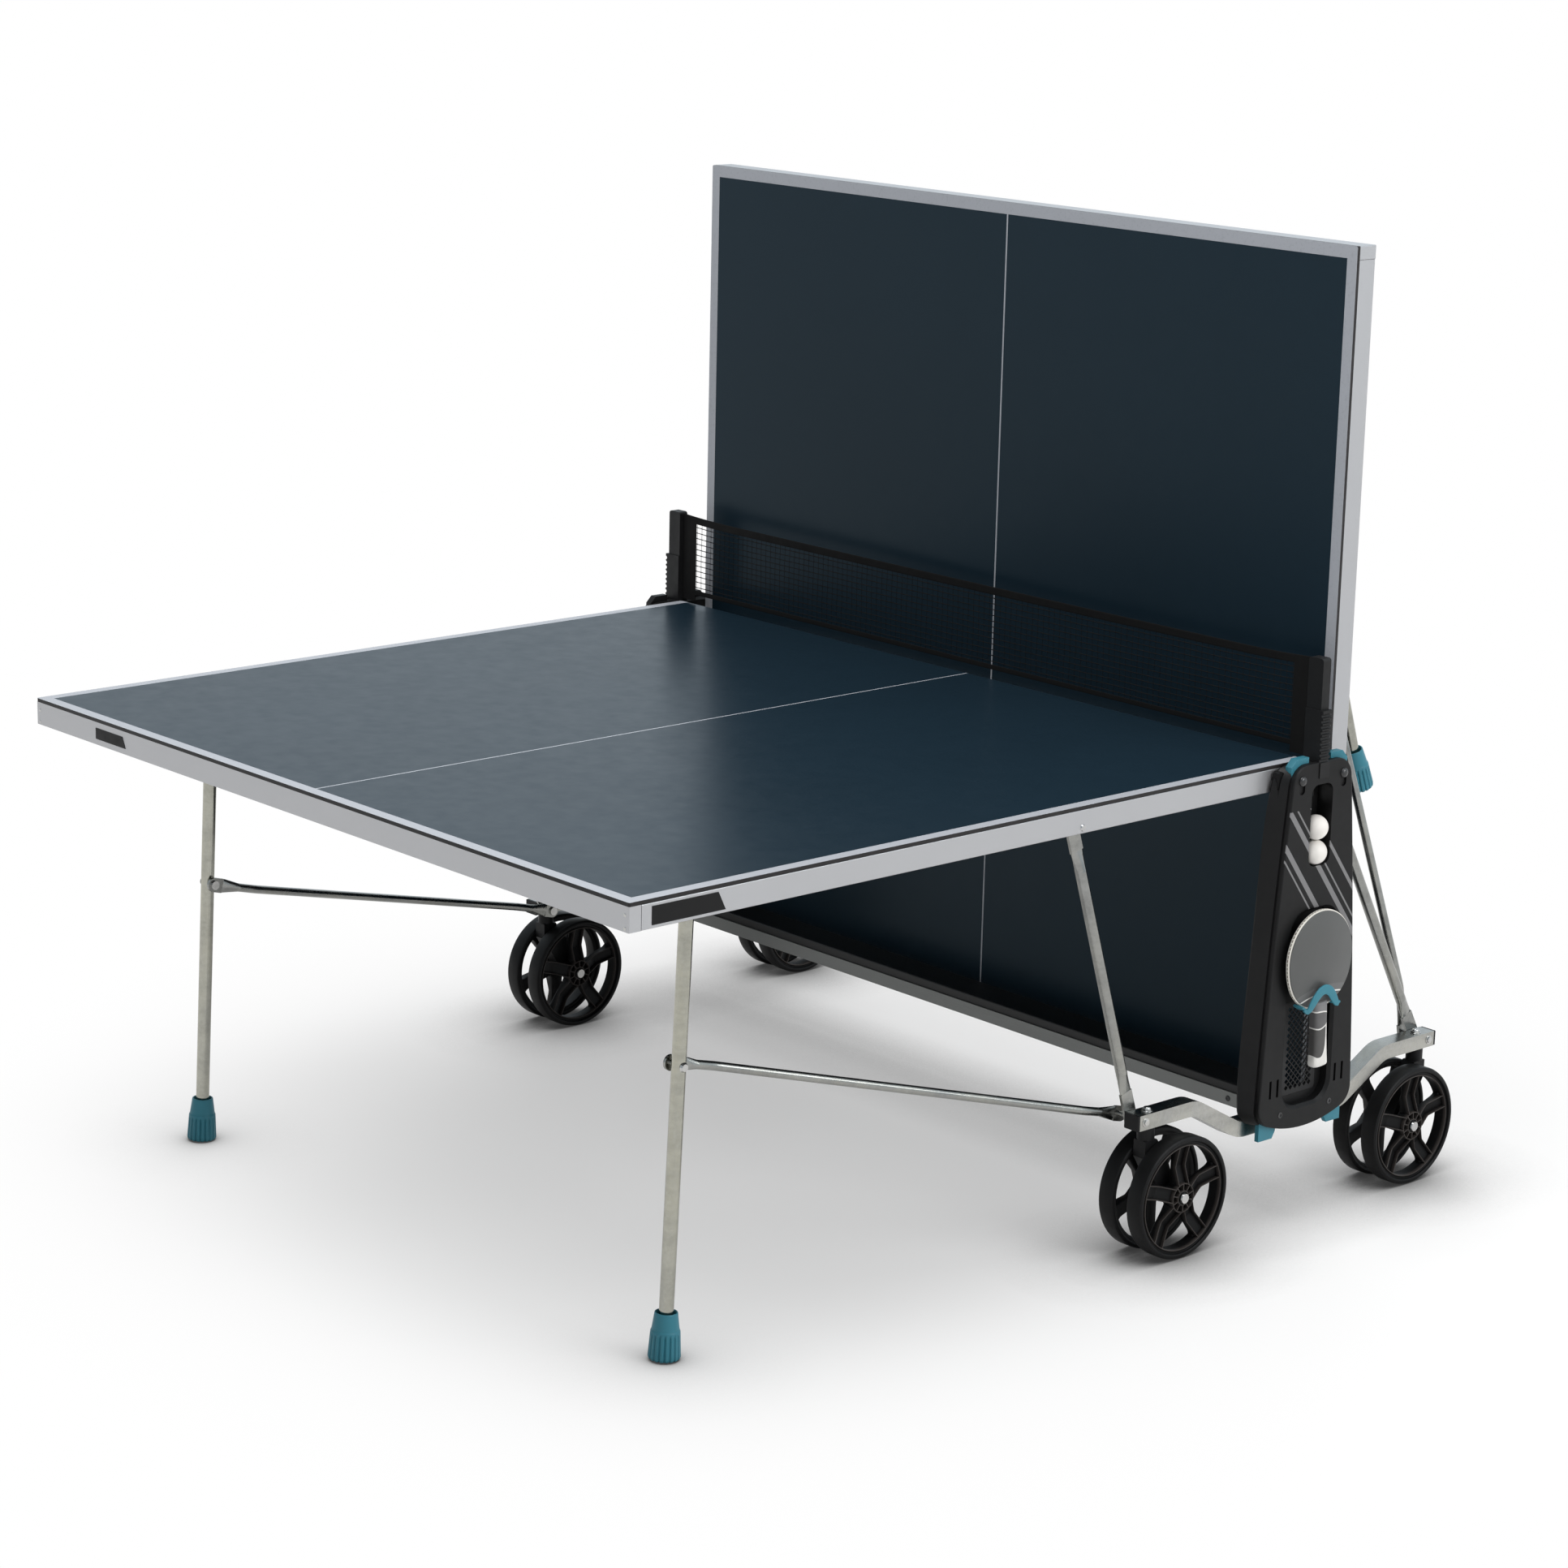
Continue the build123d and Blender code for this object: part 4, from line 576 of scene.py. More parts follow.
def makeNet():
    # weft threads share the height between the tapes evenly, warp threads cross them at the knots;
    # the tapes are swept along the net, and a flat superellipse drawn upward makes the sleeve at each end
    form = netForm
    low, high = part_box("net")
    inner = high.x - form["sleeve"] + form["tuck"]
    netBottom = low.z + form["hang"] + form["bottomBand"]
    sample = 2 * form["columns"] + 1
    x = np.linspace(-inner, inner, sample)
    top = netTop(x, high) - form["topBand"]
    share = (np.arange(form["rows"]) + 0.6) / (form["rows"] + 0.2)
    z = netBottom + share[:, None] * (top - netBottom)
    sway = form["sway"] * np.sin(x * 41.0) * np.sin(share[:, None] * 9.0)
    weft = np.stack([np.broadcast_to(x, z.shape), np.full(z.shape, netLine), z + sway], -1)
    beat = np.where(np.arange(sample) % 2 == 1, form["knot"], 1.0)
    grids = [strands(weft, form["weft"] * np.broadcast_to(beat, z.shape), (0, 1, 0), (0, 0, 1))]
    columns = x[1::2]
    levels = np.linspace(0, 1, 2 * form["rows"] + 3)
    openHeight = netTop(columns, high)[:, None] - form["topBand"] - netBottom + 2 * form["lap"]
    height = netBottom - form["lap"] + levels[None] * openHeight
    drift = form["drift"] * np.sin(height * 55.0 + columns[:, None] * 23.0)
    warp = np.stack([columns[:, None] + drift, np.full(height.shape, netLine), height], -1)
    grids.append(strands(warp, np.full(height.shape, form["warp"]), (1, 0, 0), (0, 1, 0)))
    half = form["bandHalf"]
    along = np.linspace(-high.x + 0.0005, high.x - 0.0005, form["bandSteps"])
    tape = np.array(form["tape"])
    tape = np.concatenate([tape, tape[::-1] * (1, -1)])
    bands = (
        (netTop(along, high), form["topBand"], -1),
        (np.full_like(along, low.z + form["hang"]), form["bottomBand"], 1),
    )
    for edge, depth, lift in bands:
        path = np.stack([along, np.full_like(along, netLine), edge + lift * (depth / 2 + 0.0002)], -1)
        grids.append(swept(path, tape * (half, depth / 2)))
    turn = np.linspace(0, 2 * pi, form["loopSteps"], endpoint=False)
    loopX, loopY = squared(np.cos(turn), 0.25), squared(np.sin(turn), 0.7)
    rise = np.linspace(0, 1, form["sleeveSteps"])[:, None]
    for side in (-1, 1):
        middle = side * (high.x - form["sleeve"] / 2 - 0.0004)
        xs = middle + loopX[None] * form["sleeve"] / 2 + 0 * rise
        ripple = 1 + form["ripple"] * np.sin(rise * 31.0) * np.cos(turn)[None]
        ys = netLine + loopY[None] * half * 1.08 * ripple
        zs = low.z + 0.0004 + rise * (netTop(xs, high) - low.z - 0.0009)
        grids.append((np.stack([xs, ys, zs], -1), cappedFaces(form["sleeveSteps"], form["loopSteps"])))
    verts, faces = joinGrids(grids)
    net = pieceFrom("playNet", verts, faces, "net_assembly", "net_cloth", netBlack, smooth=False)
    fixNormals(net, 1e-7)
    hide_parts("net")


makeNet()

# the feet

footForm = {"flutes": 18, "steps": 9, "depth": 0.0023, "shoulder": 0.044, "reach": 0.7318}


# radius and height above the sole, in metres: the sole's edge, the fluted cone, the shoulder, the collar and its lip
footProfile = [(0.0205, 0.0003), (0.0222, 0.0007), (0.0235, 0.0020), (0.0242, 0.0040)]
footProfile += [(0.0243 - 0.0022 * t, 0.0055 + 0.0375 * t) for t in np.linspace(0, 1, 22)]
footProfile += [(0.0219, 0.0438), (0.0214, 0.0448), (0.0209, 0.0456), (0.0205, 0.0475)]
footProfile += [(0.0205 - 0.0030 * t, 0.0475 + 0.0220 * t) for t in (0.25, 0.5, 0.75, 1.0)]
footProfile += [
    (0.0172, 0.0713), (0.0165, 0.0719), (0.0155, 0.0719), (0.0148, 0.0711), (0.0145, 0.069), (0.0145, 0.0585),
    (0.0106, 0.0580),
]


def footRadius(radius, height, angle):
    # radius - depth * dip, where the dip follows cos(flutes * angle) and narrows to a point at the shoulder
    form = footForm
    wave = (np.cos(angle * form["flutes"]) - 0.15) / 0.85
    width = 0.25 + 0.75 * smoothStep(form["shoulder"] - height, 0.0, 0.012)
    dip = np.clip((wave - (1 - width)) / width, 0, 1) ** 0.6
    reach = smoothStep(form["shoulder"] - height, 0.0, 0.008) * smoothStep(radius, 0.0185, 0.0205)
    return radius - form["depth"] * dip * reach


def makeFoot(node):
    # the profile turned round the axis of the foot's screw, its sole at a fixed distance from the leg's pivot
    form = footForm
    pivot = Vector(joints[node.split("_")[0] + "_leg_swing"]["pos_m"])
    down = Vector(joints[node + "_height"]["axis"]).normalized()
    low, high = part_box(node)
    sole = Vector(((low.x + high.x) / 2, pivot.y, pivot.z)) + down * form["reach"]
    up, side = -down, Vector((1, 0, 0))
    basis = Matrix((side, up.cross(side), up)).transposed().to_4x4()
    grid = placed(revolved(footProfile, form["flutes"] * form["steps"], footRadius), Matrix.Translation(sole) @ basis)
    foot = pieceFrom(node + "_moulded", *grid, bodyOf[node], "teal_plastic", tealPlastic)
    finished(foot, 40, node)


for half in ("front", "back"):
    for side in ("left", "right"):
        makeFoot(half + "_" + side + "_foot")
print("feet made")

# the wheels

wheelForm = {
    "steps": 96, "spokes": 5, "half": 0.0115, "rib": 0.0016, "back": 0.0080, "hubTop": 0.0298, "dip": 0.0205,
    "rimTop": 0.0285, "dipRadius": 0.050, "hub": 0.0240, "rimInner": 0.0846, "floor": 0.0075, "pockets": 10,
}
# radius and depth from the inner face, in millimetres
rimProfile = [
    (97.0, 0.6), (99.1, 2.2), (100, 5.2), (100, 26.8), (99.1, 29.8), (97.0, 31.4), (94.6, 31.9), (92.8, 31.5),
    (91.7, 30.3), (91.3, 27.4), (90.6, 26.6), (88.0, 26.4), (87.2, 26.8), (86.7, 28.9), (86.0, 29.5), (85.2, 29.3),
    (84.8, 28.4), (84.6, 22.0), (84.4, 10.0), (85.2, 6.0), (87.0, 4.6), (90.5, 4.2), (91.6, 3.2), (92.2, 1.2),
    (94.5, 0.2),
]
hubProfile = [
    (6.2, 0.6), (14.5, 0.6), (15.5, 1.6), (16.5, 5.0), (20.0, 7.6), (24.0, 8.2), (24.2, 20.0), (24.1, 29.2),
    (23.7, 29.9), (22.8, 29.9), (22.5, 29.2), (22.2, 20.5), (12.6, 20.5), (12.3, 29.2), (12.0, 29.9), (10.9, 29.9),
    (10.6, 29.2), (10.4, 28.4), (6.2, 28.4),
]


def spokeGrid():
    # a channel with a flat back and a thin rib along each side; a rib's top is the dip plus a power of the distance
    # towards the hub or the rim, and the sides flare with a power of the distance near both ends
    form = wheelForm
    radius = np.array([21.5, 25, 29, 34, 39, 44, 48, 50, 52, 56, 62, 68, 74, 79, 82, 84, 85.6]) / 1000
    inward = np.clip((form["dipRadius"] - radius) / (form["dipRadius"] - form["hub"]), 0, 1.1)
    outward = np.clip((radius - form["dipRadius"]) / (form["rimInner"] - form["dipRadius"]), 0, 1.03)
    dip, rib, level = form["dip"], form["rib"], 0 * radius
    top = dip + (form["hubTop"] - dip) * inward ** 1.1 + (form["rimTop"] - dip) * outward ** 1.15
    bottom = top - form["floor"]
    flare = 0.006 * np.clip((radius - 0.074) / 0.0115, 0, 1) ** 2.2
    flare = flare + 0.0012 * np.clip((0.034 - radius) / 0.012, 0, 1) ** 2
    wide, still, back = form["half"] + flare, form["half"] + level, form["back"] + level
    # one side from the back round to the floor of the channel; the other is its mirror image
    right = [
        (wide - 0.0030, back), (wide - 0.0009, back + 0.0008), (wide, back + 0.0026), (wide, bottom - 0.0022),
        (still, bottom - 0.0002), (still, top - 0.0004), (still - 0.0005, top), (still - rib + 0.0004, top),
        (still - rib, top - 0.0005), (still - rib - 0.0003, bottom),
    ]
    loop = right[2::-1] + [(-a, d) for a, d in right] + right[:2:-1]
    across, depth = np.stack([a for a, _ in loop], 1), np.stack([d for _, d in loop], 1)
    points = np.stack([radius[:, None] + 0 * across, across, depth], -1)
    return points.reshape(-1, 3), cappedFaces(*points.shape[:2])


def boxGrid(low, high):
    # eight corners and six faces
    corners = np.array([(x, y, z) for z in (low[2], high[2]) for y in (low[1], high[1]) for x in (low[0], high[0])])
    faces = np.array([(0, 2, 3, 1), (4, 5, 7, 6), (0, 1, 5, 4), (2, 6, 7, 3), (0, 4, 6, 2), (1, 3, 7, 5)])
    return corners, [faces]


def wheelGrids():
    # the grids of one wheel, and for every point its share of the painted highlight on the crests of rim, hub, ribs
    # and bars
    form = wheelForm
    rim, hub = np.array(rimProfile) / 1000, np.array(hubProfile) / 1000
    grids = [ringSolid(rim, form["steps"]), ringSolid(hub, 60)]
    onRim = (rim[:, 0] < 0.0868) & (rim[:, 1] > 0.0280)
    onHub = hub[:, 1] > 0.0290
    crestShine = [np.repeat(onRim, form["steps"]), np.repeat(onHub, 60)]
    spoke = spokeGrid()
    onSpoke = np.tile(np.isin(np.arange(20), (8, 9, 10, 11, 14, 15, 16, 17)), len(spoke[0]) // 20)
    for number in range(form["spokes"]):
        grids.append(placed(spoke, Matrix.Rotation(pi / 2 + 2 * pi * number / form["spokes"], 4, "Z")))
        crestShine.append(onSpoke)
    bar = boxGrid((0.0118, -0.0007, 0.0190), (0.0230, 0.0007, 0.0296))
    for number in range(form["pockets"]):
        grids.append(placed(bar, Matrix.Rotation(2 * pi * (number + 0.5) / form["pockets"], 4, "Z")))
        crestShine.append(bar[0][:, 2] > 0.029)
    return grids, np.concatenate(crestShine).astype(float)


wheelParts, wheelCrestShine = wheelGrids()


def makeWheel(node):
    # the wheel's axis laid along X from the inner face of its box, mirrored for the wheel on the other side
    sideSign = 1 if "_right_" in node else -1
    sign = sideSign if "_outer_" in node else -sideSign
    low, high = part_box(node)
    centre = joints[node + "_spin"]["pos_m"]
    start = low.x if sign > 0 else high.x
    basis = Matrix(((0, 0, sign, start), (1, 0, 0, centre[1]), (0, sign, 0, centre[2]), (0, 0, 0, 1)))
    verts, faces = joinGrids([placed(grid, basis) for grid in wheelParts])
    # the crest values weight the painted highlight
    wheel = pieceFrom(node + "_moulded", verts, faces, bodyOf[node], "wheel_black", wheelBlack, crestHighlight=wheelCrestShine)
    finished(wheel, 32, node, 1e-7)


for half in ("front", "back"):
    for side in ("left", "right"):
        for face in ("outer", "inner"):
            makeWheel(half + "_" + side + "_" + face + "_wheel")
print("wheels made")

# the bat

batForm = {
    "steps": 128, "drop": 0.0835, "grip": 0.0108, "gripWide": 0.0139, "gripSteps": 48, "gripPower": 0.62,
    "tangHalf": (0.0029, 0.0128), "tangFrom": 0.010, "tangTo": 0.03, "lowPower": 2 / 2.2,
    # how far each outline is drawn in, and how far it lies from the middle of the blade
    "wood": ((0.0022, -0.0030), (0.0007, -0.0029), (0.0001, -0.0023), (0.0, -0.0008), (0.0, 0.0008),
             (0.0001, 0.0023), (0.0007, 0.0029), (0.0022, 0.0030)),
    "rubber": ((0.0023, 0.0029), (0.0021, 0.0040), (0.0023, 0.0047), (0.0029, 0.0050)),
}
bladeX = (bladeLow.x + bladeHigh.x) / 2
bladeHalf = (bladeHigh.y - bladeLow.y) / 2
bladeRise, bladeDrop, bladeZ = batLook["rise"], batForm["drop"], batLook["middle"]


def leaning(verts):
    # the bat hangs a little askew: y and z turned by the lean about the middle of its blade
    lean = radians(batLook["lean"])
    y, z = verts[:, 1] - netLine, verts[:, 2] - bladeZ
    across, up = y * cos(lean) - z * sin(lean), y * sin(lean) + z * cos(lean)
    return np.stack([verts[:, 0], netLine + across, bladeZ + up], -1)


def stackedLoops(loops):
    # closed outlines one above the other, joined by walls and closed by a cap at each end
    loops = np.asarray(loops)
    return loops.reshape(-1, 3), cappedFaces(*loops.shape[:2])


def bladeOutline(inset, cut=None):
    # y = half width * cos, z = rise * sin above; below the middle both are squared a little and z is drop * sin;
    # all drawn in by inset, and held above a sagging level where a cut is given
    turn = np.linspace(0, 2 * pi, batForm["steps"], endpoint=False) + pi / 2
    under = np.sin(turn) < 0
    power = np.where(under, batForm["lowPower"], 1.0)
    y = (bladeHalf - inset) * squared(np.cos(turn), power)
    z = np.where(under, bladeDrop - inset, bladeRise - inset) * squared(np.sin(turn), power)
    if cut is not None:
        sag = cut + inset + 0.004 * (1 - (y / 0.04) ** 2).clip(0, 1)
        z = np.maximum(z, sag)
    return netLine + y, bladeZ + z


def outlines(layers, face, cut=None):
    # one outline of the blade for each layer, at its distance from the middle of the blade
    loops = []
    for inset, off in layers:
        y, z = bladeOutline(inset, cut)
        loops.append(np.stack([np.full_like(y, bladeX + face * off), y, z], -1))
    return stackedLoops(loops)


def makeBat():
    form = batForm
    half, wide = form["tangHalf"]
    tang = boxGrid(
        (bladeX - half, netLine - wide, handleLow.z + form["tangFrom"]),
        (bladeX + half, netLine + wide, bladeZ - form["tangTo"]),
    )
    verts, faces = joinGrids([outlines(form["wood"], 1), tang])
    finished(pieceFrom("batBlade", leaning(verts), faces, "bat", "bat_wood", batWood), 50, "bat_blade")
    cut = handleHigh.z - bladeZ - 0.0100
    verts, faces = joinGrids([outlines(form["rubber"], face, cut) for face in (-1, 1)])
    finished(pieceFrom("batRubbers", leaning(verts), faces, "bat", "bat_rubber", batRubber), 50, "bat_rubbers")
    # the grip: a superellipse section, flared towards its end and rounded at both ends
    t = np.concatenate([[0.0, 0.004, 0.012, 0.03], np.linspace(0.06, 0.95, 30), [0.975, 0.99, 1.0]])
    height = handleLow.z + 0.006 + t * (handleHigh.z - handleLow.z - 0.006)
    flare = 0.0030 * np.clip((0.52 - t) / 0.52, 0, 1) ** 1.5
    rounding = 0.0016 * np.clip(1 - t / 0.03, 0, 1) ** 2 + 0.0010 * np.clip((t - 0.95) / 0.05, 0, 1) ** 2
    turn = np.linspace(0, 2 * pi, form["gripSteps"], endpoint=False)
    x, y = squared(np.sin(turn), form["gripPower"]), squared(np.cos(turn), form["gripPower"])
    halfWidth = (form["gripWide"] + flare - rounding)[:, None]
    halfDepth = (form["grip"] - rounding)[:, None]
    heights = np.repeat(height[:, None], form["gripSteps"], 1)
    loops = np.stack([bladeX + halfDepth * x, netLine + halfWidth * y, heights], -1)
    verts, faces = stackedLoops(loops)
    finished(pieceFrom("batGrip", leaning(verts), faces, "bat", "bat_grip", gripGrey), 50, "bat_handle")


makeBat()
print("bat made")

# the clips that hold a bat

clipForm = {
    "front": 0.0040, "shelf": 0.0036, "gap": 0.0014, "steps": 84, "sectionSteps": 20, "power": 0.55,
    # side of the blade, and the angles in degrees between which a shelf runs under its rim
    "shelves": ((-1, 53.5, 66.0), (1, 61.0, 67.0)), "shelfSteps": 16,
}
# out, height from the middle of the bat, half of the band's width, in millimetres
clipLine = (
    (-46.0, -76.0, 1.8), (-42.0, -79.4, 2.6), (-37.5, -80.8, 3.8), (-32.0, -78.4, 5.4), (-26.0, -71.6, 6.8),
    (-17.0, -61.4, 7.6), (-7.0, -53.4, 8.0), (3.0, -50.6, 8.0), (12.5, -53.4, 8.0), (21.5, -62.0, 7.6),
    (28.0, -71.6, 6.8), (33.5, -78.4, 5.2), (37.0, -80.4, 3.6),
)


def smoothLine(points, count):
    # cubic Hermite curve through all points, its slopes taken from their neighbours, sampled evenly by length
    points = np.asarray(points, float)
    run = np.concatenate([[0], np.cumsum(np.linalg.norm(np.diff(points[:, :2], axis=0), axis=1))])
    slope = np.gradient(points, run, axis=0)
    where = np.linspace(0, run[-1], count)
    k = np.clip(np.searchsorted(run, where) - 1, 0, len(run) - 2)
    span = (run[k + 1] - run[k])[:, None]
    t = ((where - run[k])[:, None]) / span
    a, b = points[k], points[k + 1]
    m, n = slope[k] * span, slope[k + 1] * span
    return a * (2 * t**3 - 3 * t**2 + 1) + m * (t**3 - 2 * t**2 + t) + b * (3 * t**2 - 2 * t**3) + n * (t**3 - t**2)


def makeClips():
    # a band swept along the line in front of the bat, and strips round the same ellipse as the blade's lower rim
    form = clipForm
    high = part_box("bat_clips")[1]
    line = smoothLine(clipLine, form["steps"]) / 1000
    turn = np.linspace(0, 2 * pi, form["sectionSteps"], endpoint=False)
    a, b = squared(np.cos(turn), form["power"]), squared(np.sin(turn), form["power"])
    grids = []
    for side in (-1, 1):
        front = side * (high.x - form["front"] / 2)
        path = np.stack([np.full(form["steps"], front), netLine + line[:, 0], bladeZ + line[:, 1]], -1)
        wide = a[None] * line[:, 2:3]
        section = np.stack([wide, np.broadcast_to(b * form["front"] / 2, wide.shape)], -1)
        grids.append(swept(path, section, hint=(1.0, 0.0, 0.0)))
        for way, start, stop in form["shelves"]:
            angle = np.linspace(radians(start), radians(stop), form["shelfSteps"])
            cosine, sine = np.cos(angle) ** batForm["lowPower"], np.sin(angle) ** batForm["lowPower"]
            ring = np.array([
                [(bladeHalf + r) * cosine * way, -(bladeDrop + r) * sine]
                for r in (form["gap"], form["gap"] + form["shelf"])
            ])
            loop = np.concatenate([ring[0].T, ring[1].T[::-1]])
            ends = [side * (bladeX - 0.005), side * (high.x - 0.0012)]
            loops = [np.stack([np.full(len(loop), x), netLine + loop[:, 0], bladeZ + loop[:, 1]], -1) for x in ends]
            grids.append(stackedLoops(loops))
    clips = pieceFrom("batClips", *joinGrids(grids), "chassis", "teal_plastic", tealPlastic)
    finished(clips, 45, "bat_clips", 1e-7)


makeClips()
print("clips made")

# the locks; those of the left panel are black
lockForm = {
    "width": 0.0008, "segments": 2, "limit_method": "ANGLE", "angle_limit": radians(30), "harden_normals": True,
    "use_clamp_overlap": True,
}
for half in ("front", "back"):
    softened(half + "_left_lock", half + "LeftLock", panelBlack)
    softened(half + "_right_lock", half + "RightLock", tealPlastic)

# rivets at the outer corners of the front end rail; heads are (radius, height) in millimetres
rivetForm = {
    "in": 0.009, "drops": (0.013, 0.032),
    "head": ((2.9, -0.1), (2.9, 0.10), (2.4, 0.42), (1.5, 0.62), (0.5, 0.70)),
}


def makeRivets():
    # round heads on the end rail near each of its corners
    low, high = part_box("front_frame")
    out = high.x - rivetForm["in"]
    grids = [
        placed(head(rivetForm["head"], 20), facing(side * out, low.y, high.z - drop, (0, -1, 0)))
        for side in (-1, 1) for drop in rivetForm["drops"]
    ]
    rivets = pieceFrom("frontRivets", *joinGrids(grids), "front_half", "zinc_steel", boltZinc)
    finished(rivets, 40, merge=1e-7)


# screws, bolts and nuts of the chassis; heads are (radius, height) in millimetres

screwPlaces = {
    "domeOut": 0.049, "domeHeight": 0.737, "coverOut": 0.059, "coverHeight": 0.190, "boltOut": 0.341,
    "boltHeight": 0.230, "beamSide": 0.669, "beamHeight": 0.1785,
}
domeHead = [(8.0, -0.4), (8.0, 0.5), (7.9, 1.1), (7.3, 2.2), (6.2, 3.3), (4.6, 4.2), (2.6, 4.75), (0.9, 4.9)]
coverHead = [(5.0, -0.4), (5.0, 0.3), (4.6, 0.75), (3.4, 0.8), (2.7, 0.5), (2.4, -0.8), (0.8, -1.2)]
washerHead = [(7.4, -0.3), (7.4, 0.7), (7.0, 1.1), (5.6, 1.2), (0.8, 1.2)]
panHead = [(4.9, -0.2), (4.9, 0.5), (4.3, 1.2), (3.1, 1.5), (2.2, 1.3), (1.9, 0.5), (0.6, 0.2)]
nutFlange = [(9.5, -0.1), (9.5, 0.5), (9.2, 0.8), (0.9, 0.8)]
nutDome = [(6.3, 3.3), (6.2, 4.2), (5.6, 5.3), (4.4, 6.2), (2.8, 6.8), (0.9, 7.0)]


def facing(side, out, height, direction):
    # the matrix that moves the origin to a point and turns Z to a direction: columns first, along x first, along
    along = Vector(direction).normalized()
    spare = Vector((0, 0, 1)) if abs(along.z) < 0.9 else Vector((0, 1, 0))
    first = spare.cross(along).normalized()
    return Matrix.Translation((side, out, height)) @ Matrix((first, along.cross(first), along)).transposed().to_4x4()


def head(profile, steps=32):
    # a profile in millimetres turned round the Z axis
    return revolved(np.array(profile) / 1000, steps)


def hexagon(wide, low, high, chamfer=0.6):
    # six flats with a small chamfer at the top, as a profile turned in six steps
    return head([(wide, low), (wide, high - chamfer), (wide - chamfer * 1.4, high), (0.8, high)], 6)


def makeScrews():
    # the same set on both sides and at both ends, mirrored by side and way
    place = screwPlaces
    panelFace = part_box("right_panel_cover")[1].x
    armFace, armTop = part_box("right_wheel_arm")[1].x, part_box("right_wheel_arm")[1].z
    trimLow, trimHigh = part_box("cross_beam_trim")
    black, bright = [], []
    for side in (-1, 1):
        for way in (-1, 1):
            outward = (side, 0, 0)
            dome = facing(side * panelFace, netLine + way * place["domeOut"], place["domeHeight"], outward)
            black.append(placed(head(domeHead, 40), dome))
            cover = facing(side * panelFace, netLine + way * place["coverOut"], place["coverHeight"], outward)
            black.append(placed(head(coverHead), cover))
            bolt = facing(side * armFace, netLine + way * place["boltOut"], place["boltHeight"], outward)
            bright.append(placed(head(washerHead), bolt))
            bright.append(placed(hexagon(5.4, 0.9, 3.4), bolt))
            swivel = joints[("back" if way > 0 else "front") + "_right_caster_swivel"]["pos_m"]
            nut = facing(side * swivel[0], swivel[1], armTop, (0, 0, 1))
            bright.append(placed(head(nutFlange), nut))
            bright.append(placed(hexagon(8.6, 0.6, 3.6), nut))
            bright.append(placed(head(nutDome), nut))
            trim = trimHigh.y if way > 0 else trimLow.y
            pan = facing(side * place["beamSide"], trim, place["beamHeight"], (0, way, 0))
            black.append(placed(head(panHead), pan))
    finished(pieceFrom("panelScrews", *joinGrids(black), "chassis", "black_plastic", screwBlack), 28)
    shiny = pieceFrom("armBolts", *joinGrids(bright), "chassis", "zinc_steel", boltZinc)
    finished(shiny, 28, "chassis_screws")


makeScrews()
makeRivets()
print("screws and rivets made")

# light, floor and camera

stageLook = {
    "size": 60.0, "floor": 0.90, "centre": (0.15, 0.35, 0.0), "glowNear": 0.43, "fadeFrom": 0.7, "fadeTo": 1.8,
    # the reach and the darkest tone of the floor's painted shadow are among these
    "worldFill": 0.42, "worldShown": 1.0, "mirroredFront": 0.57, "mirroredBack": 1.04, "paintedShadowReach": 0.22,
    "paintedShadowDark": 0.08, "mirrored": (0.84, 0.93, 1.0, 1.0),
}


def makeWorld():
    # seen directly it is white, as a light it is dimmer, and mirrored it is bluish and rises from front to back
    look = stageLook
    world = bpy.data.worlds.new("studio")
    bpy.context.scene.world = world
    n = Nodes("studio", world)
    path = n.add("LightPath")
    shown = n.math("MAXIMUM", path.outputs["Is Camera Ray"], path.outputs["Is Transmission Ray"])
    strength = n.remap(shown, 0.0, 1.0, look["worldFill"], look["worldShown"])
    split = n.add("SeparateXYZ", {0: n.coords.outputs["Generated"]})
    backwards = n.remap(split.outputs["Y"], -1.0, 1.0, look["mirroredFront"], look["mirroredBack"])
    glossy = path.outputs["Is Glossy Ray"]
    n.feed(n.shader.inputs["Strength"], n.remap(glossy, 0.0, 1.0, strength, backwards))
    n.feed(n.shader.inputs["Color"], n.mix(glossy, (1, 1, 1, 1), look["mirrored"]))


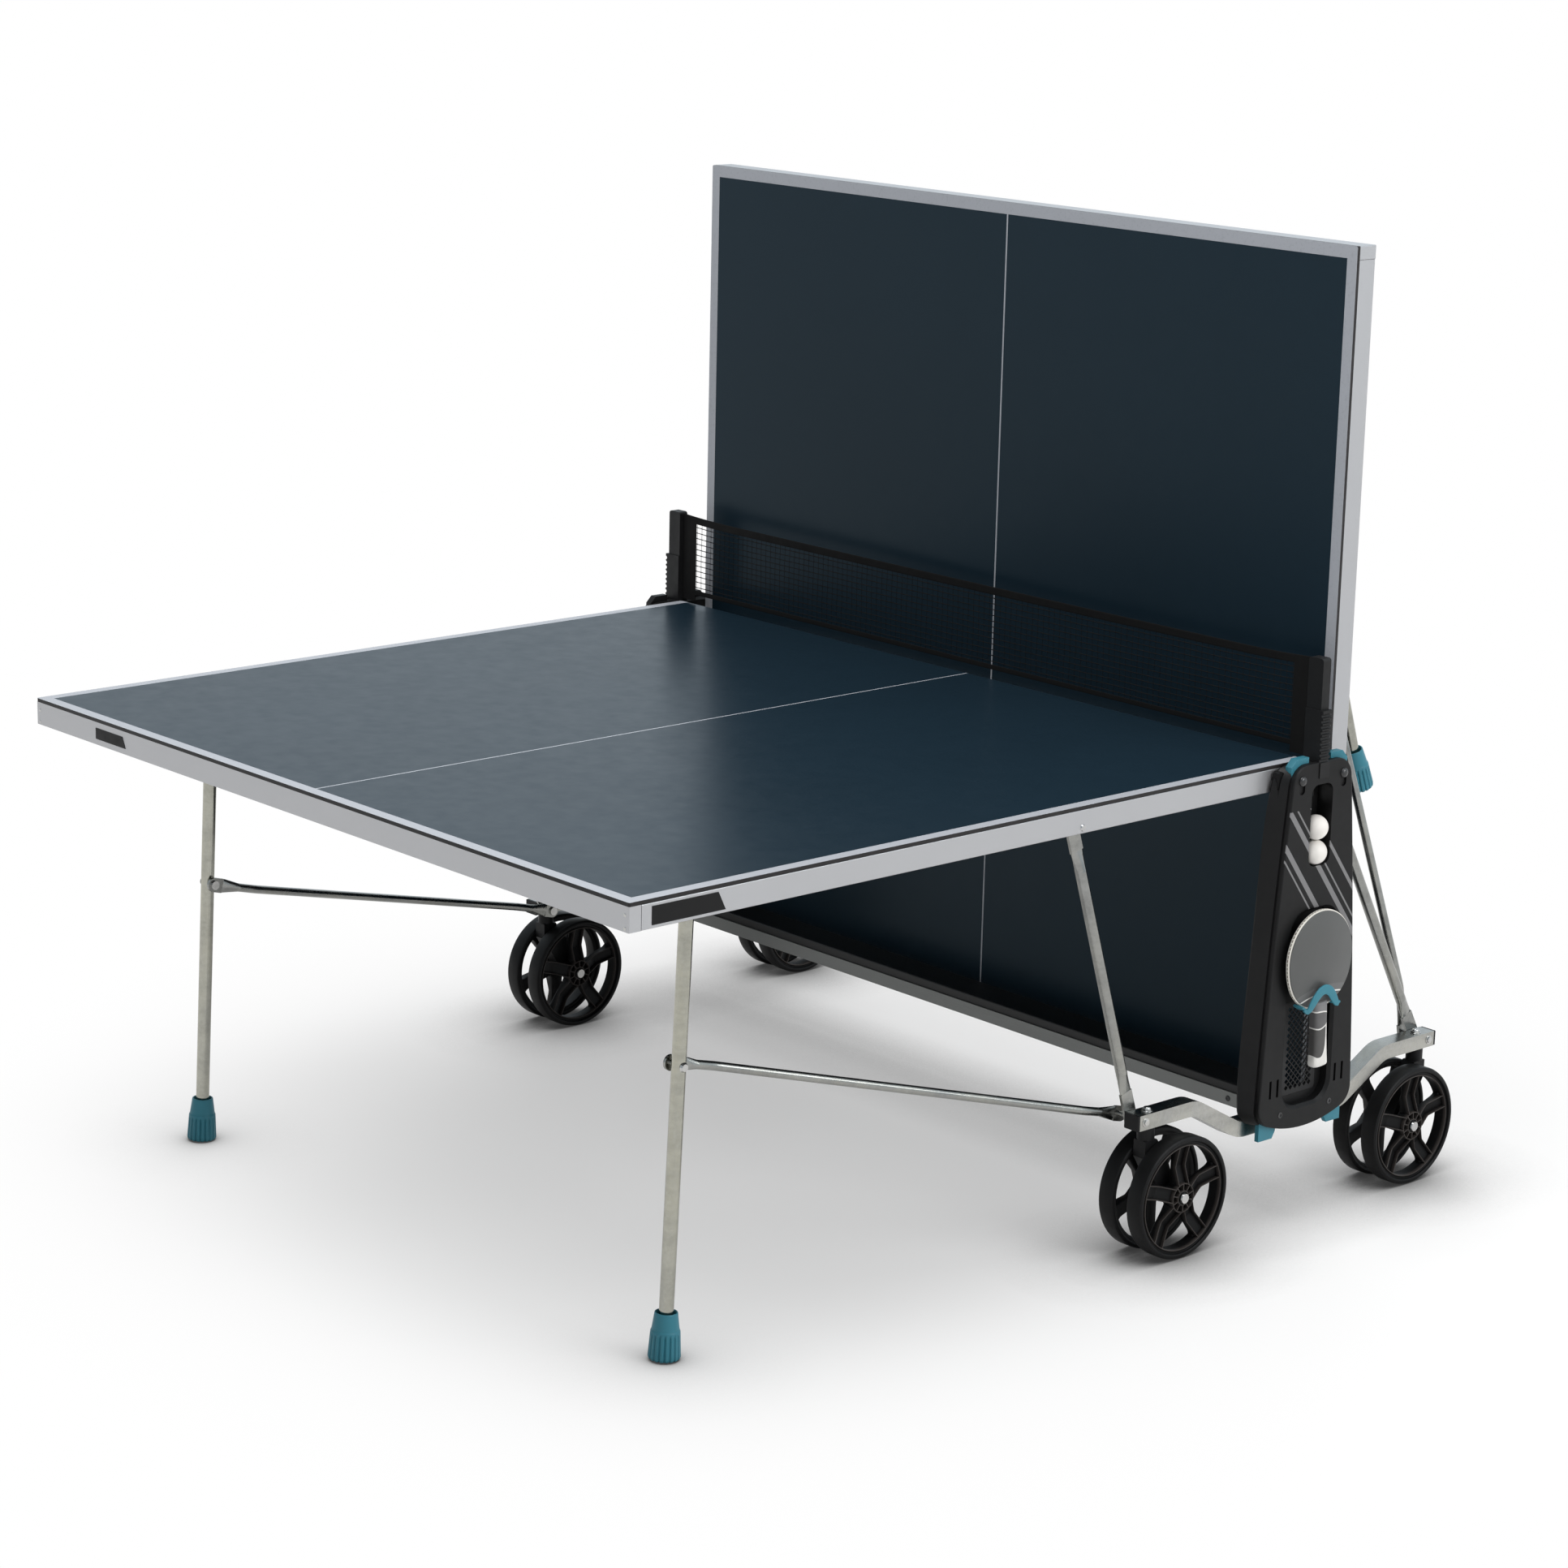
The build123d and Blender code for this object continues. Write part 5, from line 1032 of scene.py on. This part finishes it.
def makeFloor():
    # pale paper with a painted shadow, darker close to what stands on it, that glows white far from a centre:
    # the share of the glow is a smooth step of the distance from that centre
    look = stageLook
    half = look["size"] / 2
    mesh = bpy.data.meshes.new("studioFloor")
    mesh.from_pydata([(-half, -half, 0), (half, -half, 0), (half, half, 0), (-half, half, 0)], [], [(0, 1, 2, 3)])
    floor = bpy.data.objects.new("studioFloor", mesh)
    bpy.context.scene.collection.objects.link(floor)
    n = Nodes("floorPaper")
    # painted shadow: ambient occlusion darkens the paper's colour and its glow close to what stands on it
    near = n.add("AmbientOcclusion", {"Distance": look["paintedShadowReach"]}, samples=12)
    paintedShadow = n.remap(near.outputs["AO"], 0.35, 1.0, look["paintedShadowDark"], 1.0)
    n.paint(n.mix(paintedShadow, (0, 0, 0, 1), tint((look["floor"],) * 3)))
    n.shader.inputs["Roughness"].default_value = 0.9
    n.shader.inputs["Specular IOR Level"].default_value = 0.1
    glow = n.add("Emission", {"Strength": paintedShadow})
    offset = n.add("VectorMath", {0: n.place, 1: look["centre"]}, operation="SUBTRACT")
    length = n.add("VectorMath", {0: offset.outputs[0]}, operation="LENGTH")
    path = n.add("LightPath")
    seen = n.math("MAXIMUM", path.outputs["Is Camera Ray"], path.outputs["Is Glossy Ray"])
    fade = n.remap(length.outputs["Value"], look["fadeFrom"], look["fadeTo"], look["glowNear"], 1.0, True)
    blend = n.add("MixShader", {0: n.times(fade, seen), 1: n.shader.outputs[0], 2: glow.outputs[0]})
    n.feed(n.tree.nodes["Material Output"].inputs["Surface"], blend.outputs[0])
    mesh.materials.append(n.material)


lampLook = (
    # name, place, aim, width, height, watts, whether the object mirrors it
    ("keyLamp", (-4.6, 4.4, 3.6), (-0.5, -0.4, 0.7), 4.4, 3.6, 150.0, False),
    ("sideLamp", (5.2, 1.6, 3.4), (0.4, 0.1, 0.7), 3.4, 2.8, 150.0, True),
    ("topLamp", (0.6, -0.6, 4.9), (0.0, 0.1, 0.4), 2.6, 2.6, 125.0, True),
)


def makeLamps():
    for name, place, aim, width, height, watts, mirrored in lampLook:
        lamp = bpy.data.lights.new(name, "AREA")
        lamp.shape = "RECTANGLE"
        lamp.size, lamp.size_y, lamp.energy = width, height, watts
        holder = bpy.data.objects.new(name, lamp)
        holder.location = place
        holder.rotation_euler = (Vector(aim) - Vector(place)).to_track_quat("-Z", "Y").to_euler()
        holder.visible_glossy = mirrored
        bpy.context.scene.collection.objects.link(holder)


cameraLook = {
    "across": 4.6449, "fromNet": -4.5684, "height": 2.1970, "turn": 48.23, "down": 14.156, "roll": 1.285,
    "view": 22.84,
}


def makeCamera():
    look = cameraLook
    data = bpy.data.cameras.new("viewCamera")
    data.sensor_width = 36.0
    data.sensor_fit = "HORIZONTAL"
    data.angle = radians(look["view"])
    data.clip_end = 200.0
    camera = bpy.data.objects.new("viewCamera", data)
    aim = Euler((radians(90 - look["down"]), 0, radians(look["turn"]))).to_matrix()
    aim = aim @ Matrix.Rotation(radians(look["roll"]), 3, "Z")
    camera.rotation_euler = aim.to_euler()
    camera.location = (look["across"], look["fromNet"] + netLine, look["height"])
    bpy.context.scene.collection.objects.link(camera)
    bpy.context.scene.camera = camera


makeWorld()
makeFloor()
makeLamps()
makeCamera()
bpy.context.scene.view_settings.view_transform = "Standard"
print("stage, lamps and camera made")
